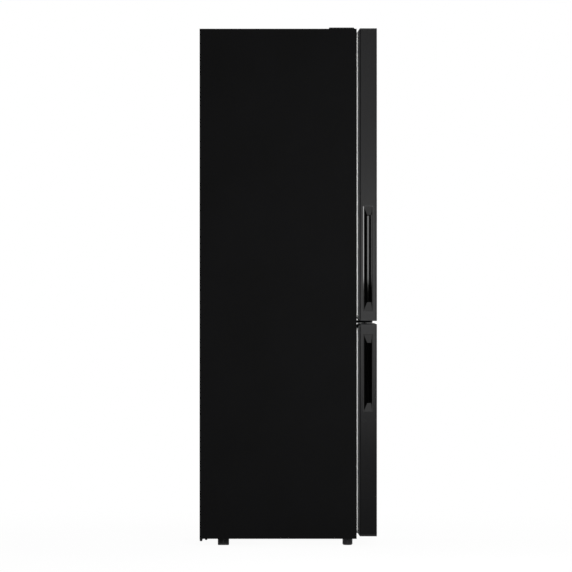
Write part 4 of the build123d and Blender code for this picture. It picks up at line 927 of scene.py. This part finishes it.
low, high = (Vector(corner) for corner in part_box("control_knob"))
knob_axis = (low + high) / 2
knob_radius = (high.x - low.x) / 2
knob_front = low.y + KNOB_GRIP_HEIGHT
facing_front = (QUARTER_TURN, 0, 0)
flutes = {
    "Count": KNOB_FLUTES,
    "Radius": knob_radius,
    "Size": (2 * FLUTE_PROUD, FLUTE_WIDTH, high.y - knob_front - 2 * FLUTE_MARGIN),
    "Centre": (knob_axis.x, (knob_front + high.y) / 2, knob_axis.z),
    "Turn": facing_front,
}
grow("control_knob_flutes", knob_flutes(FINISHES["white_moulding"]), flutes, "knob")
marks = {
    "Count": MARK_COUNT,
    "Ring": MARK_RING,
    "Radius": MARK_RADIUS,
    "Height": MARK_HEIGHT,
    "Growth": MARK_GROWTH,
    "Start": math.radians(MARK_MIDDLE + MARK_SWEEP / 2),
    "Sweep": math.radians(-MARK_SWEEP),
    "Centre": (knob_axis.x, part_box("control_box")[0][1], knob_axis.z),
    "Turn": facing_front,
}
grow("knob_scale_marks", scale_marks(printed_grey()), marks, "cabinet")

# Door seals

gasket_low, gasket_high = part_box("fridge_door_gasket")
seal_depth = gasket_high[1] - gasket_low[1]
seal_outline = [(across * SEAL_WIDTH / 2, up * seal_depth) for across, up in SEAL_HALF_PROFILE]
seal_outline += [(-across, up) for across, up in reversed(seal_outline)]
seal_section = outline_curve("seal_section", seal_outline)
bpy.context.collection.objects.link(seal_section)
seal_tree = door_seal(FINISHES["seal_rubber"], seal_section)
for door in DOORS:
    low, high = (Vector(corner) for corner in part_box(door + "_gasket"))
    seal = {
        "Width": high.x - low.x - SEAL_WIDTH,
        "Height": high.z - low.z - SEAL_WIDTH,
        "Corner": SEAL_CORNER,
        "Centre": (0, low.y, (low.z + high.z) / 2),
        "Turn": facing_front,
    }
    piece = grow(door + "_seal", seal_tree, seal, door)
    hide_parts(door + "_gasket")
bpy.data.objects.remove(seal_section)

# The back: pressed beads and screws on the panel, screws and louvre lips on the cover

panel_low, panel_high = (Vector(corner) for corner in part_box("back_panel"))
cover_low, cover_high = (Vector(corner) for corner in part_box("rear_cover"))
bead_pitch = (panel_high.z - panel_low.z) / BEAD_COUNT
bead_places = [
    (0, panel_high.y, panel_low.z + bead_pitch * (row + 0.5)) for row in range(BEAD_COUNT)
]
bead_sizes = {
    "Length": BEAD_LENGTH,
    "Radius": BEAD_RADIUS,
    "Flatten": (1, BEAD_PROUD / BEAD_RADIUS, 1),
}
galvanised = FINISHES["galvanised_steel"]
bead_tree = pressed_beads(galvanised)
grow("back_panel_beads", bead_tree, bead_sizes, "cabinet", bead_places)

screw_rise = (panel_high.z - panel_low.z - 2 * SCREW_INSET) / (PANEL_SCREW_ROWS - 1)
screw_step = (cover_high.x - cover_low.x - 2 * SCREW_INSET) / (COVER_SCREW_COLUMNS - 1)
back_screws = [
    (side * (panel_high.x - SCREW_INSET), panel_high.y, panel_low.z + SCREW_INSET + screw_rise * row)
    for side in (-1, 1)
    for row in range(PANEL_SCREW_ROWS)
]
back_screws += [
    (cover_low.x + SCREW_INSET + screw_step * column, cover_high.y, height)
    for column in range(COVER_SCREW_COLUMNS)
    for height in (cover_low.z + SCREW_INSET, cover_high.z - SCREW_INSET)
]
screw_head = star_screw_head()
bpy.context.collection.objects.link(screw_head)
screw_tree = screw_heads(FINISHES["plated_steel"], screw_head)
facing_back = {"Turn": (-QUARTER_TURN, 0, 0)}
grow("back_screws", screw_tree, facing_back, "cabinet", back_screws)
bpy.data.objects.remove(screw_head)

louvre_bars = row_of_bars(galvanised)
for row, offset in (("low", -0.5), ("high", 0.5)):
    lips = {
        "Count": LOUVRE_COUNT,
        "First": (
            -(LOUVRE_COUNT - 1) / 2 * LOUVRE_PITCH - LOUVRE_OFFSET,
            cover_low.y - LOUVRE_DEPTH / 2 + LOUVRE_SHEET,
            (cover_low.z + cover_high.z) / 2 + offset * LOUVRE_ROW_PITCH,
        ),
        "Step": (LOUVRE_PITCH, 0, 0),
        "Size": (LOUVRE_SHEET, LOUVRE_DEPTH, LOUVRE_LENGTH),
        "Turn": (0, 0, math.radians(LOUVRE_TILT)),
    }
    grow(f"rear_cover_{row}_louvres", louvre_bars, lips, "cabinet")

weld = {
    "Oval": (CAN_LENGTH / 2, CAN_BREADTH / 2, 1),
    "Radius": WELD_RADIUS,
    "Centre": (CAN_X, CAD_BOX[1][1] - CAN_SETBACK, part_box("compressor")[0][2] + CAN_WELD_RISE),
}
grow("compressor_weld", weld_bead(FINISHES["compressor_paint"]), weld, "cabinet")


# The studio


def floor_white():
    """Pale studio floor: white to the camera and in reflections, with the object's soft shadow."""
    material, tree, shader, place = new_finish("studio_floor_white", Roughness=0.9)
    shade = add(tree, "ShaderNodeTexNoise", {"Vector": place, "Scale": per_metre(2500), "Detail": 1.0})
    lay(tree, shader, colour=(shade.outputs["Fac"], "#f4f4f4", "#f7f7f7"))
    path = add(tree, "ShaderNodeLightPath")
    seen = add(
        tree,
        "ShaderNodeMath",
        {0: path.outputs["Is Camera Ray"], 1: path.outputs["Is Glossy Ray"]},
        operation="MAXIMUM",
    )
    reach = add(tree, "ShaderNodeVectorMath", {0: place}, operation="LENGTH")
    bright = add(
        tree,
        "ShaderNodeMapRange",
        {
            "Value": reach.outputs["Value"],
            "From Min": SHADOW_REACH,
            "From Max": FLOOR_REACH,
            "To Min": 1 - SHADOW_SHARE,
            "To Max": 1.0,
        },
    )
    share = add(
        tree, "ShaderNodeMath", {0: seen.outputs[0], 1: bright.outputs["Result"]}, operation="MULTIPLY"
    )
    glow = add(tree, "ShaderNodeEmission", {"Color": linear(WHITE), "Strength": 1.0})
    mix = add(
        tree,
        "ShaderNodeMixShader",
        {0: share.outputs[0], 1: shader.outputs[0], 2: glow.outputs[0]},
    )
    tree.links.new(mix.outputs[0], tree.nodes["Material Output"].inputs["Surface"])
    return material


def black_cloth():
    """Black studio cloth that reflections of the left side look into."""
    material, tree, shader, place = new_finish(
        "black_studio_cloth", Roughness=1.0, Specular_IOR_Level=0.0
    )
    fold = add(tree, "ShaderNodeTexNoise", {"Vector": place, "Scale": per_metre(667), "Detail": 2.0})
    lay(tree, shader, colour=(fold.outputs["Fac"], "#050505", "#0a0a0a"))
    return material


def flat_sheet(name, corners, material):
    """Single flat face of the studio."""
    mesh = bpy.data.meshes.new(name)
    mesh.from_pydata(corners, [], [tuple(range(len(corners)))])
    mesh.materials.append(material)
    sheet = bpy.data.objects.new(name, mesh)
    bpy.context.collection.objects.link(sheet)
    return sheet


def softbox(name, place, aim, width, height, power):
    """Soft area lamp that the camera doesn't see."""
    lamp = bpy.data.lights.new(name, "AREA")
    lamp.shape = "RECTANGLE"
    lamp.size = width
    lamp.size_y = height
    lamp.energy = power
    holder = bpy.data.objects.new(name, lamp)
    holder.location = place
    holder.rotation_euler = (Vector(aim) - Vector(place)).to_track_quat("-Z", "Y").to_euler()
    holder.visible_camera = False
    bpy.context.collection.objects.link(holder)
    return holder


flat_sheet(
    "studio_floor",
    [(-FLOOR_REACH, -FLOOR_REACH, 0), (FLOOR_REACH, -FLOOR_REACH, 0),
     (FLOOR_REACH, FLOOR_REACH, 0), (-FLOOR_REACH, FLOOR_REACH, 0)],
    floor_white(),
)
flag = flat_sheet(
    "black_flag",
    [(-FLAG_DISTANCE, FLAG_HALF, 0), (-FLAG_DISTANCE, -FLAG_HALF, 0),
     (-FLAG_DISTANCE, -FLAG_HALF, FLAG_HEIGHT), (-FLAG_DISTANCE, FLAG_HALF, FLAG_HEIGHT)],
    black_cloth(),
)
flag.visible_camera = False
flag.visible_diffuse = False
flag.visible_transmission = False
flag.visible_shadow = False

world = bpy.data.worlds.new("studio_air")
bpy.context.scene.world = world
world.use_nodes = True
air = world.node_tree
path = add(air, "ShaderNodeLightPath")
mirrored = add(
    air,
    "ShaderNodeMath",
    {0: path.outputs["Is Glossy Ray"], 1: path.outputs["Is Transmission Ray"]},
    operation="MAXIMUM",
)
seen = add(
    air,
    "ShaderNodeMath",
    {0: path.outputs["Is Camera Ray"], 1: mirrored.outputs[0]},
    operation="MAXIMUM",
)
strength = add(
    air, "ShaderNodeMapRange", {"Value": seen.outputs[0], "To Min": FILL_LEVEL, "To Max": 1.0}
)
air.links.new(strength.outputs["Result"], air.nodes["Background"].inputs["Strength"])
air.nodes["Background"].inputs["Color"].default_value = linear(WHITE)

lamps = {lamp[0]: softbox(*lamp) for lamp in LAMPS}

# The side lamp stands on the line of sight, so the grips and the middle hinge are kept out of it
shaded = bpy.data.collections.new("shaded_recesses")
for name in [door + "_grip" for door in DOORS] + ["middle_hinge"]:
    shaded.objects.link(frame["nodes"][name])
lamps["side_softbox"].light_linking.receiver_collection = shaded
for recess in shaded.collection_objects:
    recess.light_linking.link_state = "EXCLUDE"

camera = bpy.data.objects.new("photo_camera", bpy.data.cameras.new("photo_camera"))
camera.location = (CAD_BOX[0][0] - CAMERA_DISTANCE, CAMERA_AIM_Y, CAMERA_AIM_Z)
camera.rotation_euler = (QUARTER_TURN, 0, -QUARTER_TURN)
camera.data.sensor_width = SENSOR
camera.data.lens = SENSOR * CAMERA_DISTANCE / CAMERA_SPAN
camera.data.clip_end = CAMERA_CLIP
bpy.context.collection.objects.link(camera)
bpy.context.scene.camera = camera
bpy.context.scene.view_settings.view_transform = "Standard"
